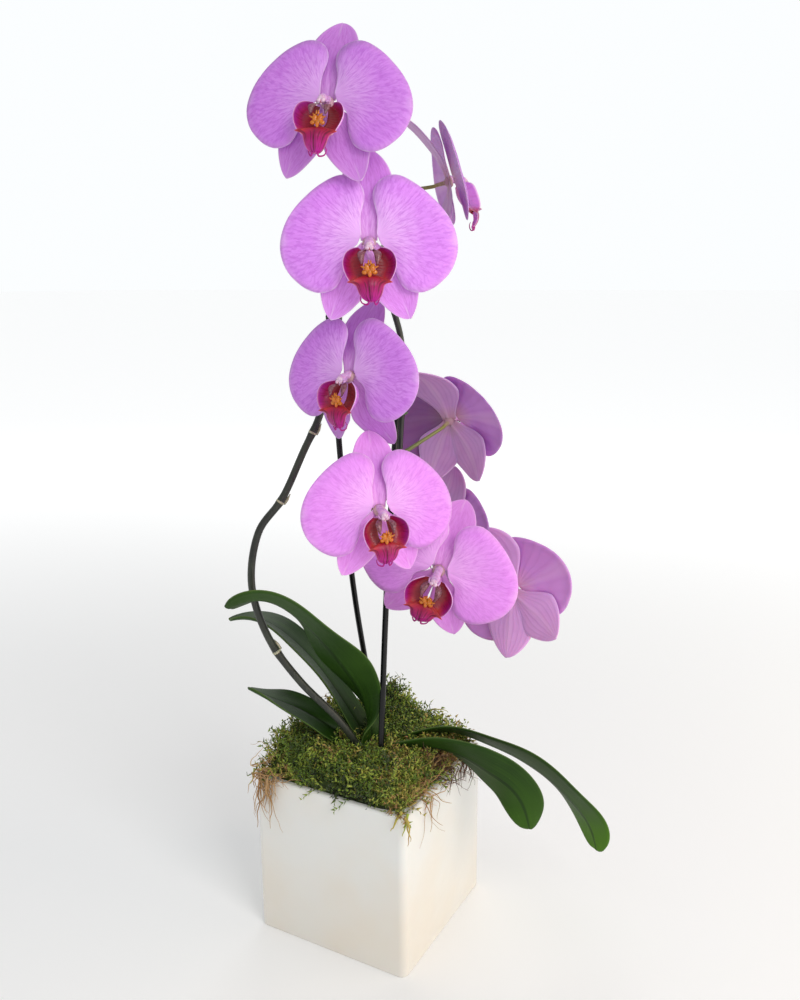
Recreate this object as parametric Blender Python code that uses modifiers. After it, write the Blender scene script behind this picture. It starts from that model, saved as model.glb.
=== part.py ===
"""Potted orchid: a moth orchid with one arching flower spike on two stakes, in a square ceramic pot.

Units are metres and +Z is up. The origin is the middle of the pot's underside, and the pot's walls
are square to X and Y. Pieces that touch keep GAP between them.
"""

import math

import bmesh
import bpy
from mathutils import Matrix, Vector

GAP = 0.0003  # clearance between pieces that touch

# Pot, a five inch cube with rounded upright edges
POT_SIDE = 0.127
POT_HEIGHT = 0.127
PLANT_RIM = 0.127  # rim height for which the heights of the plant below are given
POT_WALL = 0.006
POT_FLOOR = 0.007
POT_EDGE_RADIUS = 0.006
POT_INNER = POT_SIDE - 2 * POT_WALL

# What fills the pot
MEDIUM_DROP = 0.030  # bark's top below the rim
MOSS_RISE = 0.019  # moss above the rim, where it is level
MOSS_EDGE_RISE = 0.004  # moss above the rim, along the walls
MOSS_CELLS = 14
# Tufts of moss that stand higher: place, rise and spread
MOSS_TUFTS = [((-0.006, 0.044), 0.024, 0.015), ((-0.047, -0.036), 0.016, 0.018), ((-0.050, 0.010), 0.012, 0.020)]
WELL_RADIUS = 0.024  # opening in the moss, where the plant stands
WELL_DEPTH = 0.020

# Crown, the short stem that leaves and spike grow from
CROWN_PLACE = (0.012, -0.006)
CROWN_RADIUS = 0.0055
CROWN_HEIGHT = 0.014

# Leaves: route of the midrib, half width, roll at the base and at the tip in degrees
LEAF_THICKNESS = 0.0018
LEAF_FOLD = 0.15  # how far the edges rise above the midrib, as a share of the half width
LEAVES = {
    "leaf_left_tall": (
        [(0.009, -0.011, 0.143), (0.004, -0.011, 0.179), (0.001, -0.028, 0.206), (-0.002, -0.052, 0.237),
         (-0.016, -0.069, 0.264), (-0.033, -0.086, 0.279), (-0.051, -0.100, 0.272)], 0.022, 8, -33),
    "leaf_left_back": (
        [(-0.001, -0.003, 0.143), (-0.018, -0.009, 0.174), (-0.034, -0.018, 0.203), (-0.049, -0.027, 0.223),
         (-0.064, -0.035, 0.237), (-0.079, -0.043, 0.242), (-0.091, -0.050, 0.240)], 0.021, 14, -16),
    "leaf_left_low": (
        [(-0.003, -0.017, 0.147), (-0.021, -0.027, 0.161), (-0.037, -0.039, 0.176), (-0.052, -0.051, 0.185),
         (-0.068, -0.059, 0.194)], 0.016, 40, -20),
    "leaf_right_long": (
        [(0.023, 0.006, 0.148), (0.050, 0.026, 0.154), (0.075, 0.040, 0.142), (0.101, 0.051, 0.130),
         (0.123, 0.058, 0.115), (0.142, 0.062, 0.097), (0.155, 0.067, 0.079), (0.160, 0.069, 0.057)],
        0.021, 22, 50),
    "leaf_right_short": (
        [(0.026, -0.007, 0.146), (0.056, 0.000, 0.153), (0.081, 0.003, 0.147), (0.097, 0.003, 0.140),
         (0.111, 0.004, 0.134), (0.123, 0.005, 0.121), (0.127, 0.006, 0.101)], 0.019, 30, 109),
}

# Flower spike: it rises on the left, bends over at the top and hangs down on the right
SPIKE_ROUTE = [
    (0.007, -0.015, 0.131), (-0.005, -0.035, 0.171), (-0.028, -0.051, 0.204), (-0.045, -0.064, 0.239),
    (-0.053, -0.070, 0.278), (-0.051, -0.063, 0.314), (-0.038, -0.051, 0.338), (-0.028, -0.039, 0.369),
    (-0.020, -0.028, 0.396), (-0.015, -0.016, 0.437), (-0.013, -0.010, 0.485), (-0.012, -0.007, 0.535),
    (-0.006, -0.003, 0.566), (0.004, 0.003, 0.567), (0.010, 0.008, 0.540), (0.010, 0.010, 0.505),
    (0.012, 0.012, 0.475), (0.018, 0.017, 0.445), (0.020, 0.018, 0.415), (0.018, 0.017, 0.382),
    (0.018, 0.016, 0.362), (0.023, 0.016, 0.340), (0.034, 0.018, 0.314), (0.052, 0.025, 0.289),
    (0.068, 0.036, 0.276),
]
SPIKE_RADIUS = 0.0028
SPIKE_TIP_RADIUS = 0.0015
SPIKE_STEPS = 3  # curve steps between two points of the route
PEDICEL_RADIUS = 0.0012
PEDICEL_LEAD = 0.011  # straight-ish stretch behind the flower

# Stakes: where each meets the moss, a point half way and the top
STAKE_RADIUS = 0.0022
STAKE_FOOT = POT_HEIGHT - 0.060
STAKES = {
    "stake_left": [(-0.0216, 0.0395, 0.149), (-0.0265, 0.0165, 0.276), (-0.0195, -0.0165, 0.462)],
    "stake_right": [(0.0230, -0.0250, 0.149), (0.0195, -0.0080, 0.270), (0.0185, 0.0110, 0.402)],
}

# Ties, which hold the spike to each stake: the stake, the spike point just below or above, the height
TIE_WIRE = 0.0007
TIES = {
    "tie_left": ("stake_left", 9, 0.443),
    "tie_right": ("stake_right", 19, 0.392),
}

# Flowers from the top down: place of the middle, facing azimuth, elevation and roll in degrees, half
# width, how far petals and sepals are swept back, extra sweep of the sepals, spike point it grows from
FLOWERS = [
    ((0.006, -0.051, 0.588), 17, 16, -4, 0.054, 0.08, 0.05, 12),
    ((0.028, -0.041, 0.506), 31, 6, 0, 0.057, 0.05, 0.02, 15),
    ((0.045, 0.036, 0.548), 126, 15, 0, 0.052, 0.05, 0.40, 14),
    ((0.014, -0.044, 0.423), -2, 8, 0, 0.052, 0.08, 0.40, 17),
    ((0.037, 0.057, 0.382), 174, 18, -8, 0.051, 0.25, 0.10, 20),
    ((0.040, -0.053, 0.339), 48, 6, 0, 0.053, 0.08, 0.10, 21),
    ((0.028, 0.057, 0.299), 161, -20, 0, 0.048, -0.10, 0.05, 22),
    ((0.063, -0.012, 0.290), 17, -8, -20, 0.058, 0.08, 0.02, 23),
    ((0.092, 0.052, 0.259), 171, -5, -32, 0.052, 0.05, 0.05, 24),
]
# Parts of a flower, as shares of its half width
PETAL_THICKNESS = 0.0009
PETAL_CLAW = (0.075, 0.05)  # where a petal starts, beside the column
PETAL_CLAW_RADIUS = 0.06
PETAL_MIDDLE, PETAL_SPAN = math.radians(17), math.radians(80)
PETAL_LIFT = 0.055  # petals stand this far in front of the sepals
HUB_RADIUS = 0.075
HUB_DEPTH = 0.055
HUB_RISE = 0.015  # hub in front of the sepals
# Direction, reach, half width and how far it lies in front of the others: the lower two overlap
SEPALS = [(90, 1.03, 0.29, 0), (-119, 0.96, 0.26, 0), (-61, 0.96, 0.26, 0.007)]
SEPAL_START = 0.045
COLUMN_START = Vector((0, 0.02, 0.04))
COLUMN_DIRECTION = Vector((0, -0.3, 1)).normalized()
COLUMN_LENGTH = 0.20
COLUMN_RADIUS = 0.052
LIP_START, LIP_LENGTH = (-0.11, 0.11), 0.48

COLOURS = {
    "glazed_ceramic": ((0.80, 0.79, 0.76), 0.18),
    "bark": ((0.12, 0.07, 0.04), 0.9),
    "moss": ((0.13, 0.17, 0.03), 0.95),
    "leaf": ((0.04, 0.12, 0.02), 0.38),
    "stem": ((0.05, 0.06, 0.04), 0.45),
    "stake": ((0.01, 0.01, 0.012), 0.25),
    "tie": ((0.10, 0.16, 0.06), 0.5),
    "petal": ((0.66, 0.33, 0.75), 0.5),
    "sepal": ((0.62, 0.32, 0.70), 0.5),
    "lip": ((0.55, 0.02, 0.12), 0.4),
    "column": ((0.85, 0.60, 0.72), 0.45),
}


def clear_scene():
    for obj in list(bpy.data.objects):
        bpy.data.objects.remove(obj, do_unlink=True)


def collection(name):
    made = bpy.data.collections.new(name)
    bpy.context.scene.collection.children.link(made)
    return made


def material(name):
    found = bpy.data.materials.get(name)
    if found:
        return found
    colour, roughness = COLOURS[name]
    made = bpy.data.materials.new(name)
    made.use_nodes = True
    shader = made.node_tree.nodes["Principled BSDF"]
    shader.inputs["Base Color"].default_value = (*colour, 1)
    shader.inputs["Roughness"].default_value = roughness
    shader.inputs["Metallic"].default_value = 0
    return made


def mesh_object(name, mesh, look, parent=None):
    """An object of the part, from a bmesh, which it frees, or from a mesh."""
    if isinstance(mesh, bmesh.types.BMesh):
        data = bpy.data.meshes.new(name)
        mesh.to_mesh(data)
        mesh.free()
        mesh = data
    obj = bpy.data.objects.new(name, mesh)
    PART.objects.link(obj)
    mesh.materials.append(material(look))
    mesh.shade_smooth()
    mesh.set_sharp_from_angle(angle=math.radians(40))
    obj.parent = parent
    return obj


def cutter(name, obj):
    for owner in list(obj.users_collection):
        owner.objects.unlink(obj)
    CUTTERS.objects.link(obj)
    obj.name = name
    obj.hide_render = True
    obj.display_type = "WIRE"
    return obj


def boolean(obj, other, operation):
    modifier = obj.modifiers.new(operation.title(), "BOOLEAN")
    modifier.operation = operation
    modifier.solver = "EXACT"
    modifier.object = other


def solidify(obj, thickness):
    modifier = obj.modifiers.new("Thickness", "SOLIDIFY")
    modifier.thickness = thickness
    modifier.offset = 0


def rounded_box(side, low, high, radius):
    """A square block with its upright edges rounded."""
    bm = bmesh.new()
    bmesh.ops.create_cube(bm, size=1)
    bmesh.ops.scale(bm, verts=bm.verts, vec=(side, side, high - low))
    bmesh.ops.translate(bm, verts=bm.verts, vec=(0, 0, (low + high) / 2))
    upright = [e for e in bm.edges if abs(e.verts[0].co.z - e.verts[1].co.z) > (high - low) / 2]
    bmesh.ops.bevel(bm, geom=upright, offset=radius, segments=3, profile=0.5, affect="EDGES")
    return bm


def smooth_route(points, steps):
    """Points of a Catmull-Rom curve that passes through every point given."""
    points = [Vector(p) for p in points]
    ends = [2 * points[0] - points[1], *points, 2 * points[-1] - points[-2]]
    route = []
    for a, b, c, d in zip(ends, ends[1:], ends[2:], ends[3:]):
        for step in range(steps):
            t = step / steps
            route.append(
                0.5 * (2 * b + (c - a) * t + (2 * a - 5 * b + 4 * c - d) * t**2 + (3 * b - a - 3 * c + d) * t**3)
            )
    return route + [points[-1]]


def tube(name, points, radius, look, tip_radius=None, resolution=2):
    """A round tube along the points, tapering to tip_radius."""
    curve = bpy.data.curves.new(name, "CURVE")
    curve.dimensions = "3D"
    curve.bevel_depth = radius
    curve.bevel_resolution = resolution
    curve.use_fill_caps = True
    spline = curve.splines.new("POLY")
    spline.points.add(len(points) - 1)
    taper = (tip_radius or radius) / radius
    for i, (point, place) in enumerate(zip(spline.points, points)):
        point.co = (*place, 1)
        point.radius = 1 + (taper - 1) * i / (len(points) - 1)
    obj = bpy.data.objects.new(name, curve)
    PART.objects.link(obj)
    curve.materials.append(material(look))
    return obj


def as_mesh(obj):
    """The same object as a welded mesh, so that a Boolean can use it."""
    name = obj.name
    graph = bpy.context.evaluated_depsgraph_get()
    data = bpy.data.meshes.new_from_object(obj.evaluated_get(graph))
    bm = bmesh.new()
    bm.from_mesh(data)
    bmesh.ops.remove_doubles(bm, verts=bm.verts, dist=1e-5)
    bm.to_mesh(data)
    bm.free()
    made = bpy.data.objects.new(name, data)
    made.matrix_world = obj.matrix_world
    PART.objects.link(made)
    bpy.data.objects.remove(obj, do_unlink=True)
    made.name = name
    data.shade_smooth()
    return made


def planted(point):
    """A point of the plant, moved up or down with the rim."""
    return Vector((point[0], point[1], point[2] + POT_HEIGHT - PLANT_RIM))


def make_pot():
    pot = mesh_object("pot", rounded_box(POT_SIDE, 0, POT_HEIGHT, POT_EDGE_RADIUS), "glazed_ceramic")
    inner_radius = max(POT_EDGE_RADIUS - POT_WALL / 2, GAP)
    inside = rounded_box(POT_INNER, POT_FLOOR, POT_HEIGHT + POT_FLOOR, inner_radius)
    boolean(pot, cutter("pot_inside", mesh_object("pot_inside", inside, "glazed_ceramic")), "DIFFERENCE")
    return pot


def fill_side():
    return POT_INNER - 2 * GAP


def make_medium():
    top = POT_HEIGHT - MEDIUM_DROP
    block = rounded_box(fill_side(), POT_FLOOR + GAP, top, POT_EDGE_RADIUS)
    return mesh_object("growing_medium", block, "bark")


def moss_height(x, y):
    """Height of the moss over a point of the pot: a mound that falls to the rim, and its tufts."""
    half = fill_side() / 2
    level = (1 - min(abs(x) / half, 1) ** 4) * (1 - min(abs(y) / half, 1) ** 4)
    rise = MOSS_EDGE_RISE + (MOSS_RISE - MOSS_EDGE_RISE) * level
    for place, tuft_rise, spread in MOSS_TUFTS:
        away = (Vector((x, y)) - Vector(place)).length / spread
        rise += tuft_rise * math.exp(-(away**2))
    return POT_HEIGHT + rise


def make_moss():
    bm = bmesh.new()
    bmesh.ops.create_grid(bm, x_segments=MOSS_CELLS, y_segments=MOSS_CELLS, size=fill_side() / 2)
    corner = fill_side() / 2 - POT_EDGE_RADIUS
    for vert in bm.verts:
        out = Vector((max(abs(vert.co.x) - corner, 0), max(abs(vert.co.y) - corner, 0)))
        if out.length > POT_EDGE_RADIUS:
            out *= POT_EDGE_RADIUS / out.length
            vert.co.x = math.copysign(corner + out.x, vert.co.x)
            vert.co.y = math.copysign(corner + out.y, vert.co.y)
        vert.co.z = moss_height(vert.co.x, vert.co.y)
    top = set(bm.verts)
    bmesh.ops.extrude_face_region(bm, geom=bm.faces[:])
    for vert in top:
        vert.co.z = POT_HEIGHT - MEDIUM_DROP + GAP
    bmesh.ops.recalc_face_normals(bm, faces=bm.faces)
    moss = mesh_object("moss", bm, "moss")
    bm = bmesh.new()
    bmesh.ops.create_cone(
        bm, cap_ends=True, segments=20, radius1=WELL_RADIUS, radius2=WELL_RADIUS, depth=2 * WELL_DEPTH
    )
    bmesh.ops.translate(bm, verts=bm.verts, vec=(*CROWN_PLACE, POT_HEIGHT + MOSS_RISE))
    boolean(moss, cutter("plant_well", mesh_object("plant_well", bm, "moss")), "DIFFERENCE")
    return moss


def make_crown():
    floor = POT_HEIGHT + MOSS_RISE - WELL_DEPTH + GAP
    bm = bmesh.new()
    bmesh.ops.create_cone(
        bm, cap_ends=True, segments=12, radius1=CROWN_RADIUS, radius2=0.6 * CROWN_RADIUS, depth=CROWN_HEIGHT
    )
    bmesh.ops.translate(bm, verts=bm.verts, vec=(*CROWN_PLACE, floor + CROWN_HEIGHT / 2))
    return mesh_object("crown", bm, "leaf")


def leaf_outline(t):
    """Half width along the leaf, as a share of its greatest."""
    grow = min(t / 0.45, 1)
    base = 0.30 + 0.70 * grow * grow * (3 - 2 * grow)
    tip = max((t - 0.55) / 0.45, 0)
    return max(base * math.sqrt(max(1 - tip**2.4, 0)), 0.08)


def make_leaf(name, midrib, half_width, base_roll, tip_roll):
    route = smooth_route([planted(p) for p in midrib], 3)
    rows = len(route) - 1
    bm = bmesh.new()
    bmesh.ops.create_grid(bm, x_segments=4, y_segments=rows, size=1)
    for vert in bm.verts:
        across, row = vert.co.x, round((vert.co.y + 1) / 2 * rows)
        t = row / rows
        along = (route[min(row + 1, rows)] - route[max(row - 1, 0)]).normalized()
        side = along.cross(Vector((0, 0, 1))).normalized()
        side = Matrix.Rotation(-math.radians(base_roll + (tip_roll - base_roll) * t), 3, along) @ side
        width = half_width * leaf_outline(t)
        up = side.cross(along)
        vert.co = route[row] + across * width * side + LEAF_FOLD * abs(across) ** 1.5 * width * up
    leaf = mesh_object(name, bm, "leaf")
    solidify(leaf, LEAF_THICKNESS)
    return leaf


def flower_matrix(place, azimuth, elevation, roll):
    """Local x is the flower's right, y its top and z the way that it faces."""
    return (
        Matrix.Translation(planted(place))
        @ Matrix.Rotation(math.radians(azimuth), 4, "Z")
        @ Matrix.Rotation(math.radians(90 - elevation), 4, "X")
        @ Matrix.Rotation(math.radians(roll), 4, "Z")
    )


def swept(point, sweep):
    """The point moved back along z, further out more."""
    return Vector((point.x, point.y, point.z - sweep * (point.x**2 + point.y**2)))


def petal_reach(q):
    """Length of a petal along a vein: q is -1 at its lower edge and 1 at its upper edge."""
    return (0.83 - 0.11 * q) * (1 - 0.40 * abs(q) ** 5)


def make_petal(name, mirror, size, sweep, parent):
    bm = bmesh.new()
    bmesh.ops.create_grid(bm, x_segments=7, y_segments=4, size=1)
    for vert in bm.verts:
        q, t = vert.co.x, (vert.co.y + 1) / 2
        angle = PETAL_MIDDLE + PETAL_SPAN * q
        reach = PETAL_CLAW_RADIUS + (petal_reach(q) - PETAL_CLAW_RADIUS) * t
        place = Vector((
            PETAL_CLAW[0] + reach * math.cos(angle), PETAL_CLAW[1] + reach * math.sin(angle), PETAL_LIFT
        ))
        place = swept(place, sweep)
        vert.co = size * Vector((place.x * mirror, place.y, place.z))
    if mirror > 0:
        bmesh.ops.reverse_faces(bm, faces=bm.faces)
    petal = mesh_object(name, bm, "petal", parent)
    solidify(petal, PETAL_THICKNESS)
    return petal


def make_sepals(name, size, sweep, parent):
    """Three blades joined at a hub, which the flower's stalk meets from behind."""
    bm = bmesh.new()
    bmesh.ops.create_cone(
        bm, cap_ends=True, segments=12, radius1=HUB_RADIUS * size * 0.6, radius2=HUB_RADIUS * size,
        depth=(HUB_DEPTH + HUB_RISE) * size,
    )
    bmesh.ops.translate(bm, verts=bm.verts, vec=(0, 0, (HUB_RISE - HUB_DEPTH) / 2 * size))
    hub = mesh_object(name, bm, "sepal", parent)
    for number, (direction, reach, half_width, lift) in enumerate(SEPALS, 1):
        turn = Matrix.Rotation(math.radians(direction), 3, "Z")
        bm = bmesh.new()
        bmesh.ops.create_grid(bm, x_segments=5, y_segments=2, size=1)
        for vert in bm.verts:
            t, across = (vert.co.x + 1) / 2, vert.co.y
            width = half_width * math.sin(math.pi * (0.03 + 0.92 * t)) ** 0.7
            out = SEPAL_START + (reach - SEPAL_START) * t
            vert.co = size * swept(turn @ Vector((out, across * width, lift)), sweep)
        blade = mesh_object(f"{name}_blade_{number}", bm, "sepal", parent)
        solidify(blade, PETAL_THICKNESS)
        boolean(hub, cutter(blade.name, blade), "UNION")
    return hub


def make_column(name, size, parent):
    bm = bmesh.new()
    bmesh.ops.create_cone(
        bm, cap_ends=True, segments=8, radius1=COLUMN_RADIUS * size, radius2=0.9 * COLUMN_RADIUS * size,
        depth=COLUMN_LENGTH * size,
    )
    turn = Vector((0, 0, 1)).rotation_difference(COLUMN_DIRECTION).to_matrix()
    bmesh.ops.rotate(bm, verts=bm.verts, cent=(0, 0, 0), matrix=turn)
    middle = COLUMN_START + COLUMN_DIRECTION * COLUMN_LENGTH / 2
    bmesh.ops.translate(bm, verts=bm.verts, vec=size * middle)
    return mesh_object(name, bm, "column", parent)


def make_lip(name, size, parent):
    """Two upright side lobes and a middle lobe that points forward and down."""
    bm = bmesh.new()
    bmesh.ops.create_grid(bm, x_segments=4, y_segments=6, size=1)
    for vert in bm.verts:
        u, v = vert.co.x, (vert.co.y + 1) / 2
        side_lobes = 0.22 * math.exp(-(((v - 0.30) / 0.25) ** 2))
        middle_lobe = 0.12 * math.exp(-(((v - 0.78) / 0.14) ** 2))
        across = u * (0.02 + side_lobes + middle_lobe)
        rise = 0.16 * math.sin(0.8 * math.pi * v) + 2.0 * across**2 * (1 - v)
        vert.co = size * Vector((across, LIP_START[0] - LIP_LENGTH * v, LIP_START[1] + rise))
    bmesh.ops.reverse_faces(bm, faces=bm.faces)
    lip = mesh_object(name, bm, "lip", parent)
    solidify(lip, PETAL_THICKNESS)
    return lip


def make_flower(number, place, azimuth, elevation, roll, size, sweep, sepal_sweep):
    name = f"flower_{number}"
    hold = bpy.data.objects.new(name, None)
    PART.objects.link(hold)
    hold.matrix_world = flower_matrix(place, azimuth, elevation, roll)
    make_sepals(f"{name}_sepals", size, sweep + sepal_sweep, hold)
    make_petal(f"{name}_petal_left", -1, size, sweep, hold)
    make_petal(f"{name}_petal_right", 1, size, sweep, hold)
    make_column(f"{name}_column", size, hold)
    make_lip(f"{name}_lip", size, hold)


def spike_route():
    return smooth_route([planted(p) for p in SPIKE_ROUTE], SPIKE_STEPS)


def make_spike():
    """The spike with the flowers' stalks grown onto it."""
    spike = as_mesh(
        tube("flower_spike", spike_route(), SPIKE_RADIUS, "stem", SPIKE_TIP_RADIUS)
    )
    for number, (place, azimuth, elevation, roll, size, _, _, joint) in enumerate(FLOWERS, 1):
        matrix = flower_matrix(place, azimuth, elevation, roll)
        back = HUB_DEPTH * size + GAP
        route = [
            planted(SPIKE_ROUTE[joint]),
            matrix @ Vector((0, 0, -back - PEDICEL_LEAD)),
            matrix @ Vector((0, 0, -back - PEDICEL_LEAD / 2)),
            matrix @ Vector((0, 0, -back)),
        ]
        stalk = tube(f"pedicel_{number}", smooth_route(route, 3), PEDICEL_RADIUS, "stem", resolution=1)
        boolean(spike, cutter(f"pedicel_{number}", as_mesh(stalk)), "UNION")
    return spike


def stake_route(foot, middle, top):
    """A slightly bowed stake, run on straight through the moss and into the bark."""
    bow = smooth_route([planted(foot), planted(middle), planted(top)], 4)
    down = (bow[0] - bow[1]).normalized()
    depth = (bow[0].z - STAKE_FOOT) / -down.z
    return [bow[0] + down * depth] + bow


def make_stakes(filling):
    for name, places in STAKES.items():
        route = stake_route(*places)
        tube(name, route, STAKE_RADIUS, "stake")
        foot, hole_top = route[0], route[0] + (route[1] - route[0]) * 1.5
        down = (foot - hole_top).normalized() * GAP
        hole = as_mesh(tube(f"{name}_hole", [foot + down, hole_top], STAKE_RADIUS + 2 * GAP, "stake"))
        cutter(hole.name, hole)
        for piece in filling:
            boolean(piece, hole, "DIFFERENCE")


def height_crossing(route, height, rising):
    """Where a route passes a height, on its way up or down."""
    for a, b in zip(route, route[1:]):
        if min(a.z, b.z) <= height <= max(a.z, b.z) and (b.z > a.z) == rising:
            return a.lerp(b, (height - a.z) / (b.z - a.z))
    raise ValueError(f"the route doesn't pass {height} m")


def make_ties():
    """A wire loop around the stake and the spike, level at the height given."""
    spike = spike_route()
    for name, (stake, joint, height) in TIES.items():
        height += POT_HEIGHT - PLANT_RIM
        on_stake = height_crossing(stake_route(*STAKES[stake]), height, True)
        on_spike = height_crossing(spike, height, SPIKE_ROUTE[joint + 1][2] > SPIKE_ROUTE[joint][2])
        across = on_spike - on_stake
        middle = (on_stake + on_spike) / 2
        wide = SPIKE_RADIUS + TIE_WIRE + 3 * GAP
        long = across.length / 2 + wide
        bpy.ops.mesh.primitive_torus_add(
            major_segments=20, minor_segments=6, major_radius=1, minor_radius=TIE_WIRE / wide
        )
        loop = bpy.context.object
        for owner in list(loop.users_collection):
            owner.objects.unlink(loop)
        data = loop.data
        bpy.data.objects.remove(loop, do_unlink=True)
        for vert in data.vertices:
            round_the_wire = vert.co.z * wide
            flat = Vector((vert.co.x, vert.co.y))
            reach = flat.length - 1
            flat = flat.normalized()
            vert.co = Vector((flat.x * (long + reach * wide), flat.y * (wide + reach * wide), round_the_wire))
        turn = Matrix.Rotation(math.atan2(across.y, across.x), 4, "Z")
        data.transform(Matrix.Translation(middle) @ turn)
        mesh_object(name, data, "tie")


clear_scene()
PART = collection("potted_orchid")
CUTTERS = collection("cutters")
make_pot()
make_stakes([make_medium(), make_moss()])
make_crown()
for leaf_name, (leaf_midrib, *leaf_shape) in LEAVES.items():
    make_leaf(leaf_name, leaf_midrib, *leaf_shape)
make_spike()
make_ties()
for flower_number, flower in enumerate(FLOWERS, 1):
    make_flower(flower_number, *flower[:7])
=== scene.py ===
"""Potted orchid: the looks of the plant and its pot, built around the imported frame.

Metres, +Z up, and the frame's own origin. Flowers are worked out in shares of their half width, in a
space where x is the flower's right, y its top and z the way that it faces.
"""

import math
import random

import bmesh
import bpy
import numpy as np
from mathutils import Matrix, Vector, noise


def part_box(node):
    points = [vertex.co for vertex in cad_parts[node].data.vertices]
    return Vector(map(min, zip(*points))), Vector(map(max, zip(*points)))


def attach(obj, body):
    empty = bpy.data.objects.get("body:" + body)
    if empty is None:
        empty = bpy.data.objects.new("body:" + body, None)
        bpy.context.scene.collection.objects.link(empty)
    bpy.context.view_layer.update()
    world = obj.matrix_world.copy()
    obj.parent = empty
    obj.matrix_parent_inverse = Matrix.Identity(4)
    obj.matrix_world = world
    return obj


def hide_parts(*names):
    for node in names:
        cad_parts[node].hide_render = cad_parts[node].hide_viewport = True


bl_info = {
    "name": "Potted Orchid",
    "version": (1, 0, 0),
    "blender": (4, 5, 0),
    "location": "3D View > Sidebar > Orchid",
    "description": "Builds a moth orchid in a square glazed pot",
    "category": "Add Mesh",
}

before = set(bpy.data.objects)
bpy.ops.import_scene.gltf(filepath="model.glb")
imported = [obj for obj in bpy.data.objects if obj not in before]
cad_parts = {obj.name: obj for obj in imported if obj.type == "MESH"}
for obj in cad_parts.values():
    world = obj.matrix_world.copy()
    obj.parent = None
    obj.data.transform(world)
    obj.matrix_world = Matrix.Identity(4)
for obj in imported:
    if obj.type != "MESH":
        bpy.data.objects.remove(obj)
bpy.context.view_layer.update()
POT_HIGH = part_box("pot")[1]
POT_HALF = POT_HIGH.x
RIM = POT_HIGH.z

MARKS = ("along", "across", "rim", "tint", "plum")  # what each point of a blade or strand carries

# Routes, as the frame's own solids follow them: midrib, half width, roll at base and tip in degrees
LEAVES = {
    "leaf_left_tall": (
        [(0.009, -0.011, 0.143), (0.004, -0.011, 0.179), (0.001, -0.028, 0.206), (-0.002, -0.052, 0.237),
         (-0.016, -0.069, 0.264), (-0.033, -0.086, 0.279), (-0.051, -0.100, 0.272)], 0.022, 8, -33),
    "leaf_left_back": (
        [(-0.001, -0.003, 0.143), (-0.018, -0.009, 0.174), (-0.034, -0.018, 0.203), (-0.049, -0.027, 0.223),
         (-0.064, -0.035, 0.237), (-0.079, -0.043, 0.242), (-0.091, -0.050, 0.240)], 0.021, 14, -16),
    "leaf_left_low": (
        [(-0.003, -0.017, 0.147), (-0.021, -0.027, 0.161), (-0.037, -0.039, 0.176), (-0.052, -0.051, 0.185),
         (-0.068, -0.059, 0.194)], 0.016, 40, -20),
    "leaf_right_long": (
        [(0.023, 0.006, 0.148), (0.050, 0.026, 0.154), (0.075, 0.040, 0.142), (0.101, 0.051, 0.130),
         (0.123, 0.058, 0.115), (0.142, 0.062, 0.097), (0.155, 0.067, 0.079), (0.160, 0.069, 0.057)],
        0.021, 22, 50),
    "leaf_right_short": (
        [(0.026, -0.007, 0.146), (0.056, 0.000, 0.153), (0.081, 0.003, 0.147), (0.097, 0.003, 0.140),
         (0.111, 0.004, 0.134), (0.123, 0.005, 0.121), (0.127, 0.006, 0.101)], 0.019, 30, 109),
}
SPIKE_ROUTE = [
    (0.007, -0.015, 0.131), (-0.005, -0.035, 0.171), (-0.028, -0.051, 0.204), (-0.045, -0.064, 0.239),
    (-0.053, -0.070, 0.278), (-0.051, -0.063, 0.314), (-0.038, -0.051, 0.338), (-0.028, -0.039, 0.369),
    (-0.020, -0.028, 0.396), (-0.015, -0.016, 0.437), (-0.013, -0.010, 0.485), (-0.012, -0.007, 0.535),
    (-0.006, -0.003, 0.566), (0.004, 0.003, 0.567), (0.010, 0.008, 0.540), (0.010, 0.010, 0.505),
    (0.012, 0.012, 0.475), (0.018, 0.017, 0.445), (0.020, 0.018, 0.415), (0.018, 0.017, 0.382),
    (0.018, 0.016, 0.362), (0.023, 0.016, 0.340), (0.034, 0.018, 0.314), (0.052, 0.025, 0.289),
    (0.068, 0.036, 0.276),
]
SPIKE_RADIUS, SPIKE_TIP_RADIUS = 0.0028, 0.0019
SPIKE_NODES = (2.7, 5.9, 7.5, 10.4)  # where on the route a pale bract sits, counted in points
STAKES = {
    "stake_left": [(-0.0216, 0.0395, 0.149), (-0.0265, 0.0165, 0.276), (-0.0195, -0.0165, 0.462)],
    "stake_right": [(0.0230, -0.0250, 0.149), (0.0195, -0.0080, 0.270), (0.0185, 0.0110, 0.402)],
}
# For each flower: the spike point it grows from, tint from purple (-1) to pink (1), whose purple end is
# partly painted shade on flowers farther from the light, how dark painted shade makes its sepals, left petal
# and right petal, how broad its sepals are and how far the top one leans back
BLOOMS = {
    1: (12, -0.9, (0.1, 0.0, 0.0), 1.0, 0.0),
    2: (15, 0.1, (0.0, 0.0, 0.0), 1.0, 0.0),
    3: (14, -0.8, (0.35, 0.35, 0.3), 0.85, 0.0),
    4: (17, -0.6, (0.1, 0.0, 0.0), 1.0, 0.0),
    5: (20, -0.1, (0.15, 0.05, 0.95), 1.3, 0.1),
    6: (21, 0.8, (0.0, 0.0, 0.0), 0.95, 0.1),
    7: (22, -0.3, (0.35, 0.3, 0.9), 1.2, 0.0),
    8: (23, 1.0, (0.1, 0.0, 0.0), 0.9, 0.5),
    9: (24, 0.9, (0.0, 0.0, 0.35), 1.35, 0.0),
}

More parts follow.
